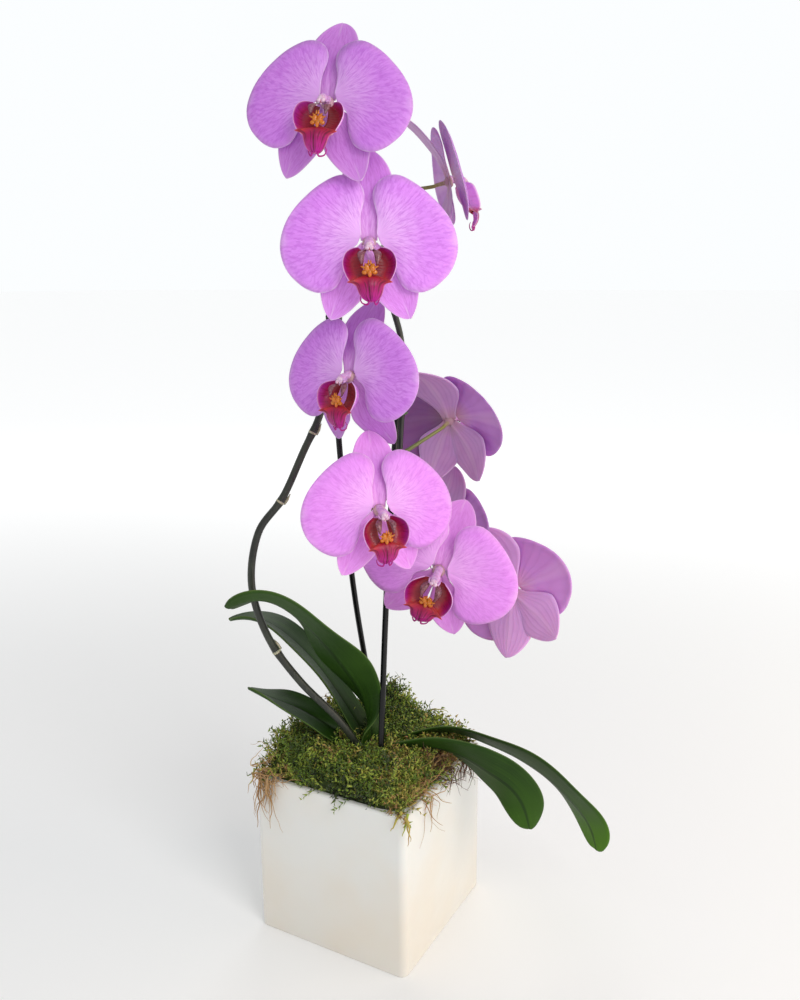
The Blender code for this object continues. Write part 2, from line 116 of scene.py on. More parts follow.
# The frame's flower, in shares of the half width: its column shows how each flower is turned
COLUMN_START = Vector((0, 0.02, 0.04))
COLUMN_TILT = math.atan(0.3)
COLUMN_LENGTH = 0.20
PETAL_LIFT = 0.055
HUB_DEPTH = 0.055
SEPALS = ((90, 1.02, 0.30, 0.0, 2.1), (-119, 0.92, 0.27, 0.0, 1.5), (-61, 0.92, 0.27, 0.007, 1.5))
BLADE_THICKNESS = 0.014

# A right petal's edge: up from the claw to the shoulder, round the outer end, and back along the bottom
PETAL_TOP = [
    (0.085, 0.085), (0.09, 0.28), (0.045, 0.51), (0.13, 0.67), (0.33, 0.72), (0.61, 0.565), (0.87, 0.29)
]
PETAL_OUTER = [(0.975, 0.0), (0.92, -0.26)]
PETAL_BOTTOM = [(0.75, -0.45), (0.56, -0.53), (0.38, -0.48), (0.285, -0.31), (0.25, -0.13), (0.13, -0.015)]
PETAL_ROWS, PETAL_COLUMNS = 34, 34

STALK_LEAD = 0.011  # straight stretch of stalk behind each flower
STAKE_RADIUS = 0.0022
LEAF_THICKNESS = 0.0018
FLOOR_HALF = 40.0
CAMERA_PLACE = (0.336, -0.5588, 0.484)
CAMERA_HEADING, CAMERA_PITCH, CAMERA_ROLL = 29.0, 76.7, -0.31  # degrees


# ---------------------------------------------------------------- shader maths


def paint(code):
    """A colour from its six-figure screen code."""
    values = [int(code[i : i + 2], 16) / 255 for i in (0, 2, 4)]
    return (*[v / 12.92 if v <= 0.04045 else ((v + 0.055) / 1.055) ** 2.4 for v in values], 1.0)


class Value:
    """A node's output, which Python's operators work on by adding Math nodes."""

    def __init__(self, look, socket):
        self.look = look
        self.socket = socket

    def maths(self, operation, *others):
        return self.look.node("Math", {"operation": operation}, self, *others)

    def __add__(self, other):
        return self.maths("ADD", other)

    def __mul__(self, other):
        return self.maths("MULTIPLY", other)

    def __sub__(self, other):
        return self.maths("SUBTRACT", other)

    def __pow__(self, other):
        return self.maths("POWER", other)

    def __rsub__(self, other):
        return self.look.node("Math", {"operation": "SUBTRACT"}, other, self)

    __radd__ = __add__

    def between(self, low, high):
        """0 up to low, 1 from high on, smooth in the middle."""
        return self.look.node("MapRange", {"interpolation_type": "SMOOTHSTEP"}, self, low, high, 0.0, 1.0)


class Look:
    """A material under construction."""

    def __init__(self, name, **constants):
        self.material = bpy.data.materials.new(name)
        self.material.use_nodes = True
        self.tree = self.material.node_tree
        self.shader = self.tree.nodes["Principled BSDF"]
        for socket, value in constants.items():
            self.shader.inputs[socket.replace("_", " ")].default_value = value

    def node(self, kind, settings, *inputs, out=0):
        """Adds a node: settings first, then a value or link for each input, None to leave one."""
        made = self.tree.nodes.new("ShaderNode" + kind)
        for key, value in settings.items():
            if key == "stops":
                ramp = made.color_ramp
                while len(ramp.elements) < len(value):
                    ramp.elements.new(0.5)
                for element, (place, colour) in zip(ramp.elements, value):
                    element.position = place
                    element.color = colour
            else:
                setattr(made, key, value)
        for socket, value in zip(made.inputs, inputs):
            self.put(socket, value)
        return Value(self, made.outputs[out])

    def put(self, socket, value):
        if isinstance(value, Value):
            self.tree.links.new(value.socket, socket)
        elif value is not None:
            socket.default_value = value

    def mark(self, name):
        """A number that the mesh's points carry."""
        return self.node("Attribute", {"attribute_name": name}, out=2)

    def place(self):
        return self.node("TexCoord", {}, out=3)

    def vector(self, x, y, z=0.0):
        return self.node("CombineXYZ", {}, x, y, z)

    def scaled(self, vector, x, y, z):
        return self.node("VectorMath", {"operation": "MULTIPLY"}, vector, (x, y, z))

    def lines(self, value, sharpness):
        """Thin even lines: 1 on each, 0 between."""
        return self.node("Math", {"operation": "ABSOLUTE"}, value.maths("SINE")) ** sharpness

    def noise(self, vector, scale, detail=2.0, rough=0.5):
        return self.node("TexNoise", {}, vector, None, scale, detail, rough)

    def ramp(self, value, *stops):
        """Colours that follow a value: each stop has its place and its screen code."""
        stops = [(place, paint(code)) for place, code in stops]
        return self.node("ValToRGB", {"stops": stops}, value)

    def mix(self, share, first, second):
        made = self.tree.nodes.new("ShaderNodeMix")
        made.data_type = "RGBA"
        for index, value in ((0, share), (6, first), (7, second)):
            self.put(made.inputs[index], value)
        return Value(self, made.outputs[2])

    def feed(self, socket, value):
        self.put(self.shader.inputs[socket], value)

    def bump(self, height, distance, strength=1.0):
        made = self.tree.nodes.new("ShaderNodeBump")
        made.inputs["Distance"].default_value = distance
        made.inputs["Strength"].default_value = strength
        self.put(made.inputs["Height"], height)
        self.feed("Normal", Value(self, made.outputs[0]))


# ---------------------------------------------------------------- meshes


def smooth_route(points, steps):
    """Points of a Catmull-Rom curve that passes through every point given."""
    points = [Vector(p) for p in points]
    ends = [2 * points[0] - points[1], *points, 2 * points[-1] - points[-2]]
    route = []
    for a, b, c, d in zip(ends, ends[1:], ends[2:], ends[3:]):
        for step in range(steps):
            t = step / steps
            bent = (2 * a - 5 * b + 4 * c - d) * t**2 + (3 * b - a - 3 * c + d) * t**3
            route.append(0.5 * (2 * b + (c - a) * t + bent))
    return route + [points[-1]]


def on_route(route, t):
    """The point a share t along a list of points."""
    place = min(max(t, 0), 1) * (len(route) - 1)
    start = min(int(place), len(route) - 2)
    return route[start].lerp(route[start + 1], place - start)


def smoothstep(t):
    t = min(max(t, 0), 1)
    return t * t * (3 - 2 * t)


def new_bmesh():
    bm = bmesh.new()
    for mark in MARKS:
        bm.verts.layers.float.new(mark)
    return bm


def set_marks(bm, verts, **values):
    for mark, value in values.items():
        layer = bm.verts.layers.float[mark]
        for vert in verts:
            vert[layer] = value


def sheet(rows, columns, place, front, **constants):
    """A grid whose corners go where place(u, v) says, with its marks. Its faces look to front."""
    bm = new_bmesh()
    bmesh.ops.create_grid(bm, x_segments=columns, y_segments=rows, size=0.5)
    layers = bm.verts.layers.float
    for vert in bm.verts:
        vert.co, marks = place(vert.co.x + 0.5, vert.co.y + 0.5)
        for mark, value in {**constants, **marks}.items():
            vert[layers[mark]] = value
    bmesh.ops.remove_doubles(bm, verts=bm.verts, dist=1e-6)
    bm.normal_update()
    facing = sum((f.normal * f.calc_area() for f in bm.faces), Vector())
    if facing.dot(Vector(front)) < 0:
        bmesh.ops.reverse_faces(bm, faces=bm.faces)
        bm.normal_update()
    return bm


def thicken(bm, thickness, front_look=0, back_look=1):
    """Gives an open sheet a back behind its front, thinner at the rim, and each side its own look."""
    front, edges = bm.verts[:], [e for e in bm.edges if e.is_boundary]
    rim = {v for e in edges for v in e.verts}
    normals = [v.normal.copy() for v in front]
    for face in bm.faces:
        face.material_index = front_look
    made = bmesh.ops.duplicate(bm, geom=front + bm.edges[:] + bm.faces[:])
    behind = made["vert_map"]
    for face in made["geom"]:
        if isinstance(face, bmesh.types.BMFace):
            face.normal_flip()
            face.material_index = back_look
    for vert, normal in zip(front, normals):
        behind[vert].co -= normal * thickness * (0.35 if vert in rim else 1)
    for edge in edges:
        loop = edge.link_loops[0]
        first, second = loop.vert, loop.link_loop_next.vert
        bm.faces.new((second, first, behind[first], behind[second])).material_index = back_look
    bm.normal_update()
    return bm


def tube(points, radii, sides=10, look=0, **marks):
    """A round tube along the points, closed at both ends."""
    curve = bpy.data.curves.new("tube", "CURVE")
    curve.dimensions = "3D"
    curve.bevel_depth = 1
    curve.bevel_resolution = max(sides // 4, 1)
    curve.use_fill_caps = True
    spline = curve.splines.new("POLY")
    spline.points.add(len(points) - 1)
    for point, place, radius in zip(spline.points, points, radii):
        point.co = (*place, 1)
        point.radius = radius
    holder = bpy.data.objects.new("tube", curve)
    mesh = holder.to_mesh()
    bm = new_bmesh()
    bm.from_mesh(mesh)
    holder.to_mesh_clear()
    bpy.data.objects.remove(holder)
    bpy.data.curves.remove(curve)
    bmesh.ops.remove_doubles(bm, verts=bm.verts, dist=1e-6)
    for face in bm.faces:
        face.material_index = look
    set_marks(bm, bm.verts, **marks)
    return bm


def ball(place, size, look=0, turn=None, **marks):
    """A rounded lump: size gives its three half widths."""
    bm = new_bmesh()
    bmesh.ops.create_uvsphere(bm, u_segments=16, v_segments=10, radius=1)
    matrix = Matrix.Translation(place) @ (turn or Matrix()) @ Matrix.Diagonal((*size, 1))
    bmesh.ops.transform(bm, matrix=matrix, verts=bm.verts)
    for face in bm.faces:
        face.material_index = look
    set_marks(bm, bm.verts, **marks)
    return bm


def joined(parts):
    """One bmesh of several, which it frees."""
    whole = new_bmesh()
    for part in parts:
        mesh = bpy.data.meshes.new("part")
        part.to_mesh(mesh)
        part.free()
        whole.from_mesh(mesh)
        bpy.data.meshes.remove(mesh)
    return whole


def piece(name, shape, node, looks, levels=0, sharp=None):
    """Makes a finished piece that rides on the plant and stands for a node of the frame."""
    mesh = shape
    if isinstance(shape, bmesh.types.BMesh):
        mesh = bpy.data.meshes.new(name)
        shape.to_mesh(mesh)
        shape.free()
    for look in looks:
        mesh.materials.append(look)
    mesh.shade_smooth()
    if sharp:
        mesh.set_sharp_from_angle(angle=math.radians(sharp))
    obj = bpy.data.objects.new(name, mesh)
    bpy.context.scene.collection.objects.link(obj)
    if levels:
        modifier = obj.modifiers.new("Smooth", "SUBSURF")
        modifier.levels = modifier.render_levels = levels
    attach(obj, "root")
    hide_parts(node)
    return obj


def node_points(name):
    """The separate corners of a node of the frame."""
    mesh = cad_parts[name].data
    places = np.empty(len(mesh.vertices) * 3)
    mesh.vertices.foreach_get("co", places)
    return np.unique(np.round(places.reshape(-1, 3), 6), axis=0)


# ---------------------------------------------------------------- looks


def blade_front(name, deep, middle, light, veins):
    """The velvety front of a petal or sepal: pale at its foot and rim, with fine veins fanning out."""
    look = Look(name, Roughness=0.5, Subsurface_Weight=0.1, Subsurface_Scale=0.003, Specular_IOR_Level=0.25)
    look.shader.inputs["Subsurface Radius"].default_value = (1.0, 0.5, 0.8)
    along, across, rim = look.mark("along"), look.mark("across"), look.mark("rim")
    tint, plum = look.mark("tint"), look.mark("plum")
    sway = look.noise(look.vector(across * 7.0, along * 3.5, tint * 9.0), 1.0, 2.0)
    main = look.lines(across * veins + sway * 9.0, 8.0)
    branches = look.lines(across * veins * 2.3 + sway * 24.0, 6.0)
    threads = look.noise(look.vector(across * veins * 0.8, along * 9.0, tint * 9.0), 1.0, 5.0, 0.7)
    patches = look.noise(look.place(), 45.0, 2.0)
    body = look.ramp(along, (0.0, light), (0.25, light), (0.58, middle), (0.8, middle))
    fan = along.between(0.05, 0.3) * (1.0 - along.between(0.85, 1.15) * 0.6)
    colour = look.mix(patches.between(0.35, 0.75) * 0.22, body, paint(light))
    colour = look.mix(threads.between(0.46, 0.62) * fan * 0.5, colour, paint(deep))
    colour = look.mix(main * fan * 0.26, colour, paint(deep))
    colour = look.mix(branches * along.between(0.3, 0.6) * fan * 0.22, colour, paint(deep))
    midline = (1.0 - (across * across * 900.0).between(0.0, 1.0)) * along.between(0.8, 0.95)
    colour = look.mix(midline * 0.35, colour, paint("f0dcf6"))
    colour = look.mix((1.0 - rim.between(0.0, 0.085)) * 0.35, colour, paint(light))
    colour = look.mix((1.0 - rim.between(0.002, 0.016)) * 0.6, colour, paint("efdcf5"))
    # partly painted shade: the purple end of the tint is the flowers' own hue, pushed darker on flowers
    # farther from the light
    purple = look.mix(tint * -0.3, colour, paint("8c50a4"))
    colour = look.mix(tint * 0.3, purple, paint("ffa0f0"))
    # painted shade: blades that face away from the light are darkened towards a deep purple
    colour = look.mix(plum * 0.72, colour, paint("5b2b56"))
    look.feed("Base Color", colour)
    fine = look.noise(look.place(), 2600.0, 2.0)
    look.bump(threads * 0.6 - main * fan * 0.2 + fine * 0.3, 0.0004, 0.5)
    look.feed("Roughness", 0.42 + fine * 0.2)
    return look.material


def blade_back(name, deep, middle, earthy):
    """The waxier back: parallel veins, a pale midrib and a brownish foot."""
    look = Look(name, Roughness=0.45, Subsurface_Weight=0.1, Subsurface_Scale=0.004)
    along, across, rim, tint, plum = (look.mark(m) for m in ("along", "across", "rim", "tint", "plum"))
    sway = look.noise(look.vector(across * 6.0, along * 3.0, 4.0), 1.0, 2.0)
    threads = look.lines(across * 46.0 + sway * 3.0, 5.0)
    patches = look.noise(look.place(), 60.0, 3.0)
    body = look.ramp(along, (0.0, earthy), (0.36, middle), (1.0, middle))
    colour = look.mix(threads * 0.2 * along.between(0.1, 0.3), body, paint(deep))
    colour = look.mix(patches.between(0.4, 0.75) * 0.25, colour, paint(deep))
    ridge = 1.0 - (across * across * 260.0).between(0.0, 1.0)
    colour = look.mix(ridge * 0.16, colour, paint("efd9e6"))
    colour = look.mix((1.0 - rim.between(0.002, 0.02)) * 0.5, colour, paint("ecd6f3"))
    colour = look.mix(tint * 0.35, colour, paint("f3a8ec"))
    # painted shade: backs that face away from the light are darkened towards a deep purple
    colour = look.mix(plum * 0.8, colour, paint("5a2c60"))
    look.feed("Base Color", colour)
    look.bump(threads, 0.0003, 0.4)
    look.feed("Roughness", 0.4 + patches * 0.2)
    return look.material


def lip_inside():
    """Crimson throat, violet margins and orange-red edges, with darker veins."""
    look = Look("lip_inside", Subsurface_Weight=0.08, Subsurface_Scale=0.003, Coat_Weight=0.15)
    along, across, rim = look.mark("along"), look.mark("across"), look.mark("rim")
    threads = look.noise(look.vector(across * 26.0, along * 2.0, 1.0), 1.0, 3.0)
    body = look.ramp(along, (0.0, "7a1010"), (0.35, "a01030"), (0.65, "a80f60"), (1.0, "a0269c"))
    colour = look.mix(threads.between(0.5, 0.7) * 0.55, body, paint("6a0c30"))
    colour = look.mix(look.mark("tint").between(0.0, 1.0), colour, paint("c8402c"))
    colour = look.mix((1.0 - rim.between(0.0, 0.02)) * 0.35, colour, paint("e79ac4"))
    look.feed("Base Color", colour)
    look.bump(threads, 0.0006, 0.7)
    look.feed("Roughness", 0.28 + threads * 0.2)
    return look.material


def lip_outside():
    look = Look("lip_outside", Roughness=0.42, Subsurface_Weight=0.1, Subsurface_Scale=0.003)
    along, rim = look.mark("along"), look.mark("rim")
    threads = look.noise(look.vector(look.mark("across") * 20.0, along * 2.0, 5.0), 1.0, 3.0)
    body = look.ramp(along, (0.0, "e4a6c8"), (0.6, "d58fdc"), (1.0, "c46bd0"))
    colour = look.mix(threads.between(0.5, 0.7) * 0.3, body, paint("b04fae"))
    colour = look.mix(look.mark("tint").between(0.2, 1.0) * 0.8, colour, paint("c8463c"))
    colour = look.mix((1.0 - rim.between(0.0, 0.02)) * 0.5, colour, paint("f2d4ea"))
    look.feed("Base Color", colour)
    look.bump(threads, 0.0004, 0.5)
    return look.material


def midlobe_top():
    """Magenta spade with dark veins, whose horns and foot are orange-red."""
    look = Look("midlobe_top", Subsurface_Weight=0.06, Subsurface_Scale=0.003, Specular_IOR_Level=0.3)
    along, across = look.mark("along"), look.mark("across")
    threads = look.noise(look.vector(across * 14.0, along * 1.5, 2.0), 1.0, 2.0)
    body = look.ramp(along, (0.0, "cc5a22"), (0.16, "a8222c"), (0.42, "a00e54"), (0.95, "b81e92"))
    colour = look.mix(look.mark("tint"), body, paint("c23c34"))
    centre = 1.0 - (across * across * 60.0).between(0.0, 1.0)
    dark = (threads.between(0.48, 0.60) * 0.75 + centre * 0.3) * along.between(0.1, 0.35)
    colour = look.mix(dark, colour, paint("5e0630"))
    colour = look.mix((1.0 - look.mark("rim").between(0.0, 0.018)) * 0.5, colour, paint("f08cc0"))
    look.feed("Base Color", colour)
    look.bump(threads, 0.0006, 0.8)
    look.feed("Roughness", 0.25 + threads * 0.2)
    return look.material


def callus_look():
    look = Look("callus", Roughness=0.3, Subsurface_Weight=0.15, Subsurface_Scale=0.003, Coat_Weight=0.3)
    spots = look.node("TexVoronoi", {}, look.place(), None, 950.0)
    # the callus's own orange-yellow with red spots, partly toned darker as painted shade for where it sits
    # inside the lip
    colour = look.mix(spots.between(0.12, 0.30), paint("74140a"), paint("c8700c"))
    warm = look.noise(look.place(), 420.0, 2.0)
    colour = look.mix(warm.between(0.5, 0.75) * 0.6, colour, paint("d4520f"))
    look.feed("Base Color", colour)
    look.bump(spots, 0.0005, 0.6)
    return look.material


def soft_look(name, first, second, scale, depth=0.0003, roughness=0.42):
    """A smooth living surface of two close colours."""
    look = Look(name, Roughness=roughness, Subsurface_Weight=0.12, Subsurface_Scale=0.003)
    cloud = look.noise(look.place(), scale, 3.0)
    look.feed("Base Color", look.mix(cloud.between(0.35, 0.7), paint(first), paint(second)))
    look.bump(cloud, depth, 0.5)
    look.feed("Roughness", roughness - 0.08 + cloud * 0.16)
    return look.material


def leaf_look(name, dark, fresh, sheen, groove_shade, gloss):
    """Strap leaf: fine lines along it, a midrib furrow painted darker as shade, a greyish painted sheen in
    patches and a thin lighter edge.
    """
    look = Look(name, Roughness=gloss, Specular_IOR_Level=0.2)
    along, across, rim = look.mark("along"), look.mark("across"), look.mark("rim")
    grain = look.noise(look.vector(across * 60.0, along * 2.4), 1.0, 3.0)
    patches = look.noise(look.place(), 22.0, 2.0)
    share = patches.between(0.2, 0.9) * 0.35 + along.between(0.62, 1.0) * look.mark("tint")
    colour = look.mix(share.between(0.0, 1.2), paint(dark), paint(fresh))
    # painted sheen: greyish patches stand in for the leaf's satin sheen
    colour = look.mix(patches.between(0.3, 0.8) * 0.3, colour, paint(sheen))
    colour = look.mix(grain.between(0.42, 0.7) * 0.16, colour, paint(fresh))
    rib = 1.0 - (across * across * 500.0).between(0.0, 1.0)
    # painted shade: the midrib furrow is painted darker
    colour = look.mix(rib * 0.6, colour, paint(groove_shade))
    colour = look.mix((1.0 - rim.between(0.0001, 0.0007)) * 0.3, colour, paint("7f9450"))
    specks = look.node("TexVoronoi", {}, look.place(), None, 240.0)
    colour = look.mix((1.0 - specks.between(0.02, 0.05)) * 0.25, colour, paint("a9b080"))
    look.feed("Base Color", colour)
    look.bump(grain * 0.5 + patches * 0.3 - rib * 0.5, 0.0005, 0.5)
    look.feed("Roughness", gloss - 0.06 + patches * 0.14)
    return look.material


def stem_look():
    """Dark olive skin with long grey-green streaks."""
    look = Look("spike_skin", Roughness=0.42, Coat_Weight=0.1)
    streaks = look.noise(look.scaled(look.place(), 900.0, 900.0, 60.0), 1.0, 3.0)
    cloud = look.noise(look.place(), 70.0, 2.0)
    colour = look.mix(cloud.between(0.3, 0.7), paint("1d201a"), paint("2c3126"))
    colour = look.mix(streaks.between(0.55, 0.75) * 0.5, colour, paint("4a5042"))
    look.feed("Base Color", colour)
    look.bump(streaks, 0.0003, 0.5)
    look.feed("Roughness", 0.34 + cloud * 0.2)
    return look.material


def stalk_look():
    look = Look("stalk_skin", Roughness=0.4, Subsurface_Weight=0.08, Subsurface_Scale=0.003)
    streaks = look.noise(look.scaled(look.place(), 700.0, 700.0, 700.0), 1.0, 2.0)
    body = look.ramp(look.mark("along"), (0.0, "5f6a32"), (0.5, "9c9a4c"), (1.0, "c0a890"))
    look.feed("Base Color", look.mix(streaks.between(0.5, 0.7) * 0.4, body, paint("6f7434")))
    look.bump(streaks, 0.0002, 0.4)
    return look.material


def stake_look():
    look = Look("stake_plastic", Roughness=0.3, Specular_IOR_Level=0.3)
    scuffs = look.noise(look.scaled(look.place(), 700.0, 700.0, 40.0), 1.0, 4.0)
    look.feed("Base Color", look.mix(scuffs.between(0.58, 0.8) * 0.5, paint("08090c"), paint("1c1f26")))
    look.feed("Roughness", 0.14 + scuffs * 0.22)
    look.bump(scuffs, 0.0002, 0.3)
    return look.material


def glaze_look(colour, warm):
    """White glaze: soft unevenness, faint warm clouding, warmer towards the bottom, and pinholes."""
    look = Look("pot_glaze", Roughness=0.22, Coat_Weight=0.5, Coat_Roughness=0.06, Subsurface_Weight=0.03)
    place = look.place()
    cloud = look.noise(place, 14.0, 3.0)
    height = look.node("SeparateXYZ", {}, place, out=2)
    warmth = cloud.between(0.35, 0.75) * 0.5 + (1.0 - height.between(0.0, RIM * 0.8)) * 0.4
    base = look.mix(warmth, colour, warm)
    pits = look.node("TexVoronoi", {}, place, None, 230.0)
    base = look.mix((1.0 - pits.between(0.02, 0.05)) * 0.25, base, paint("9d958a"))
    look.feed("Base Color", base)
    ripple = look.noise(place, 55.0, 2.0)
    look.bump(ripple + pits.between(0.0, 0.06) * 0.1, 0.0006, 0.35)
    look.feed("Roughness", 0.16 + cloud * 0.14)
    return look.material


def bark_look():
    look = Look("bark_chips", Roughness=0.9)
    chips = look.node("TexVoronoi", {}, look.place(), None, 85.0)
    grain = look.noise(look.scaled(look.place(), 500.0, 160.0, 500.0), 1.0, 4.0)
    colour = look.ramp(chips, (0.0, "6b4a30"), (0.45, "4a3120"), (0.9, "1e140d"))
    look.feed("Base Color", look.mix(grain.between(0.4, 0.7) * 0.6, colour, paint("8a6a48")))
    look.bump(grain * 0.3 - chips, 0.003, 0.8)
    look.feed("Roughness", 0.8 + grain * 0.15)
    return look.material


def moss_look(name, *stops):
    """Moss: each strand carries its own tint, whole patches lean to one colour, and every strand is painted
    darker towards its foot as shade between the strands.
    """
    look = Look(name, Roughness=0.75, Subsurface_Weight=0.05, Subsurface_Scale=0.002, Sheen_Weight=0.1)
    patches = look.noise(look.place(), 38.0, 2.0)
    fleck = look.noise(look.place(), 700.0, 2.0)
    share = look.mark("tint") * 0.62 + patches.between(0.3, 0.7) * 0.26 + fleck * 0.12
    colour = look.ramp(share, *stops)
    # painted shade: strands darken towards their feet, down in the moss where shade falls
    colour = look.mix((1.0 - look.mark("along").between(0.1, 0.8)) * 0.7, colour, paint("14160a"))
    look.feed("Base Color", colour)
    look.bump(fleck, 0.0004, 0.6)
    look.feed("Roughness", 0.6 + fleck * 0.3)
    return look.material


# ---------------------------------------------------------------- flowers


class Bloom:
    """Where one flower of the frame is, how it is turned and how its parts sweep back."""

    def __init__(self, number):
        self.name = f"flower_{number}"
        column = node_points(self.name + "_column")
        left, right = (node_points(f"{self.name}_petal_{side}").mean(0) for side in ("left", "right"))
        x_axis = Vector(right - left).normalized()
        middle = column.mean(0)
        axis = Vector(np.linalg.svd(column - middle)[2][0])
        axis = (axis - x_axis * axis.dot(x_axis)).normalized()
        if axis.dot(Vector(middle - node_points(self.name + "_sepals").mean(0))) < 0:
            axis.negate()
        across = axis.cross(x_axis)
        z_axis = math.cos(COLUMN_TILT) * axis + math.sin(COLUMN_TILT) * across
        y_axis = math.cos(COLUMN_TILT) * across - math.sin(COLUMN_TILT) * axis
        reach = (column - middle) @ np.array(axis)
        self.size = float(reach.max() - reach.min()) / COLUMN_LENGTH
        turn = Matrix((x_axis, y_axis, z_axis)).transposed()
        tilted = Vector((0, -math.sin(COLUMN_TILT), math.cos(COLUMN_TILT)))
        origin = Vector(middle) - self.size * (turn @ (COLUMN_START + tilted * COLUMN_LENGTH / 2))
        self.matrix = Matrix.Translation(origin) @ (turn * self.size).to_4x4()
        self.petal_sweep = self.sweep(f"{self.name}_petal_right", PETAL_LIFT)
        self.sepal_sweep = self.sweep(f"{self.name}_sepals", 0.0)

    def sweep(self, node, lift):
        """How far the node's outer points lie behind the flower's plane, over their distance squared."""
        inverse = self.matrix.inverted()
        points = [inverse @ Vector(p) for p in node_points(node)]
        outer = [(p.x**2 + p.y**2, lift - p.z) for p in points if p.x**2 + p.y**2 > 0.09]
        return sum(r * z for r, z in outer) / sum(r * r for r, z in outer)

    def place(self, bm):
        """Moves a shape from the flower's own space to its place on the plant."""
        bmesh.ops.transform(bm, matrix=self.matrix, verts=bm.verts)
        return bm


def unfolded(grid, rounds):
    """The inner places of a grid spread evenly, so that no cell folds over its neighbour (Winslow's rule)."""
    for _ in range(rounds):
        east, west, north, south = grid[2:, 1:-1], grid[:-2, 1:-1], grid[1:-1, 2:], grid[1:-1, :-2]
        run, rise = (east - west) / 2, (north - south) / 2
        steep, flat = (rise * rise).sum(2, keepdims=True), (run * run).sum(2, keepdims=True)
        skew = (run * rise).sum(2, keepdims=True)
        cross = (grid[2:, 2:] - grid[2:, :-2] - grid[:-2, 2:] + grid[:-2, :-2]) / 4
        pulled = steep * (east + west) + flat * (north + south) - 2 * skew * cross
        grid[1:-1, 1:-1] = pulled / (2 * (steep + flat))
    return grid


def petal_chart(rows, columns):
    """Flat places of a right petal's grid, each with its distance from the edge."""
    outline = smooth_route([(*p, 0) for p in PETAL_TOP + PETAL_OUTER + PETAL_BOTTOM], 10)
    shoulder = 10 * (len(PETAL_TOP) - 1)
    heel = shoulder + 10 * len(PETAL_OUTER)
    top, outer, bottom = outline[: shoulder + 1], outline[heel : shoulder - 1 : -1], outline[:heel - 1 : -1]
    edge = np.array(outline)[:, :2]
    grid = np.zeros((columns + 1, rows + 1, 2))
    for i in range(columns + 1):
        for j in range(rows + 1):
            u, v = i / columns, j / rows
            low, high = on_route(bottom, u), on_route(top, u)
            claw, end = bottom[0].lerp(top[0], v), on_route(outer, v)
            corners = (bottom[0].lerp(bottom[-1], u)).lerp(top[0].lerp(top[-1], u), v)
            grid[i, j] = (low.lerp(high, v) + claw.lerp(end, u) - corners).xy
    grid = unfolded(grid, 400)
    rims = np.hypot(*(edge - grid[:, :, None]).transpose(3, 0, 1, 2)).min(2)
    return {(i, j): (*map(float, grid[i, j]), float(rims[i, j])) for i, j in np.ndindex(rims.shape)}


def make_petal(bloom, chart, side, tint, plum, seed):
    """One broad petal: mirror image on the left, with its own slight waves."""
    mirror = 1 if side == "right" else -1
    wave = random.Random(seed)
    phase, height = wave.uniform(0, 6.28), wave.uniform(0.006, 0.014)

    def place(u, v):
        x, y, rim = chart[round(u * PETAL_COLUMNS), round(v * PETAL_ROWS)]
        reach = math.hypot(x - 0.05, y - 0.04)
        angle = math.atan2(y - 0.04, x - 0.05)
        z = PETAL_LIFT - bloom.petal_sweep * (x * x + y * y)
        z += 0.030 * math.sin(math.pi * min(reach, 1))
        z -= 0.026 * (1 - smoothstep(rim / 0.16)) ** 2 * smoothstep(reach / 0.3)
        z -= 0.014 * math.exp(-((angle / 0.16) ** 2)) * math.sin(math.pi * min(reach, 1))
        z += height * math.sin(5 * angle + phase) * smoothstep(reach)
        marks = {"along": reach, "across": angle / math.pi, "rim": rim}
        return Vector((mirror * x, y, z)), marks

    bm = sheet(PETAL_ROWS, PETAL_COLUMNS, place, (0, 0, 1), tint=tint, plum=plum)
    return bloom.place(thicken(bm, BLADE_THICKNESS))


def sepal_width(t, blunt):
    """Half width of a sepal along it, as a share of its greatest: narrow foot, blunt or pointed end."""
    end = max((t - 0.5) / 0.5, 0)
    return (0.30 + 0.70 * smoothstep(t / 0.55)) * max(1 - end**blunt, 0) ** 0.62


def make_sepals(bloom, tint, plum, spread, lean, seed):
    """The three blades behind the petals and the hub that joins them to the stalk."""
    wave = random.Random(seed)
    parts = []
    for direction, reach, half_width, lift, blunt in SEPALS:
        turn = Matrix.Rotation(math.radians(direction), 3, "Z")
        twist, bow = wave.uniform(-0.06, 0.06), wave.uniform(-0.02, 0.02)
        cup = 0.10 + 0.12 * (spread - 1)
        bow += 0.03 * (direction == -61) - 0.03 * (direction == -119)
        back = lean if direction == 90 else 0

        def place(u, v):
            t, side = 1 - (1 - u) ** 1.6, 2 * v - 1
            width = half_width * spread * sepal_width(t, blunt)
            out = 0.03 + (reach - 0.03) * t
            out -= 0.6 * back * t * t
            flat = turn @ Vector((out, side * width + bow * math.sin(math.pi * t), 0))
            z = lift - 0.012 * t - back * t * t - bloom.sepal_sweep * (flat.x**2 + flat.y**2)
            z += cup * side**2 * width + twist * side * width * t - 0.03 * smoothstep((t - 0.7) / 0.3)
            z -= 0.018 * math.exp(-((side / 0.18) ** 2)) * (1 - t) + 0.006 * math.sin(9 * t + seed) * side
            rim = min((1 - abs(side)) * width, (1 - t) * 0.9)
            marks = {"along": 0.15 + 0.85 * t, "across": side * 0.32, "rim": rim + 0.002}
            return Vector((flat.x, flat.y, z)), marks

        parts.append(thicken(sheet(20, 32, place, (0, 0, 1), tint=tint, plum=plum), BLADE_THICKNESS))
    hub_route = [Vector((0, 0, z)) for z in (-HUB_DEPTH, -0.035, -0.01, 0.02, 0.045)]
    hub = (0.032, 0.052, 0.075, 0.078, 0.06)
    # the hub takes the painted shade of its flower's sepals
    parts.append(tube(hub_route, hub, 20, look=1, along=0.1, across=0.3, rim=0.2, plum=plum))
    return bloom.place(joined(parts))


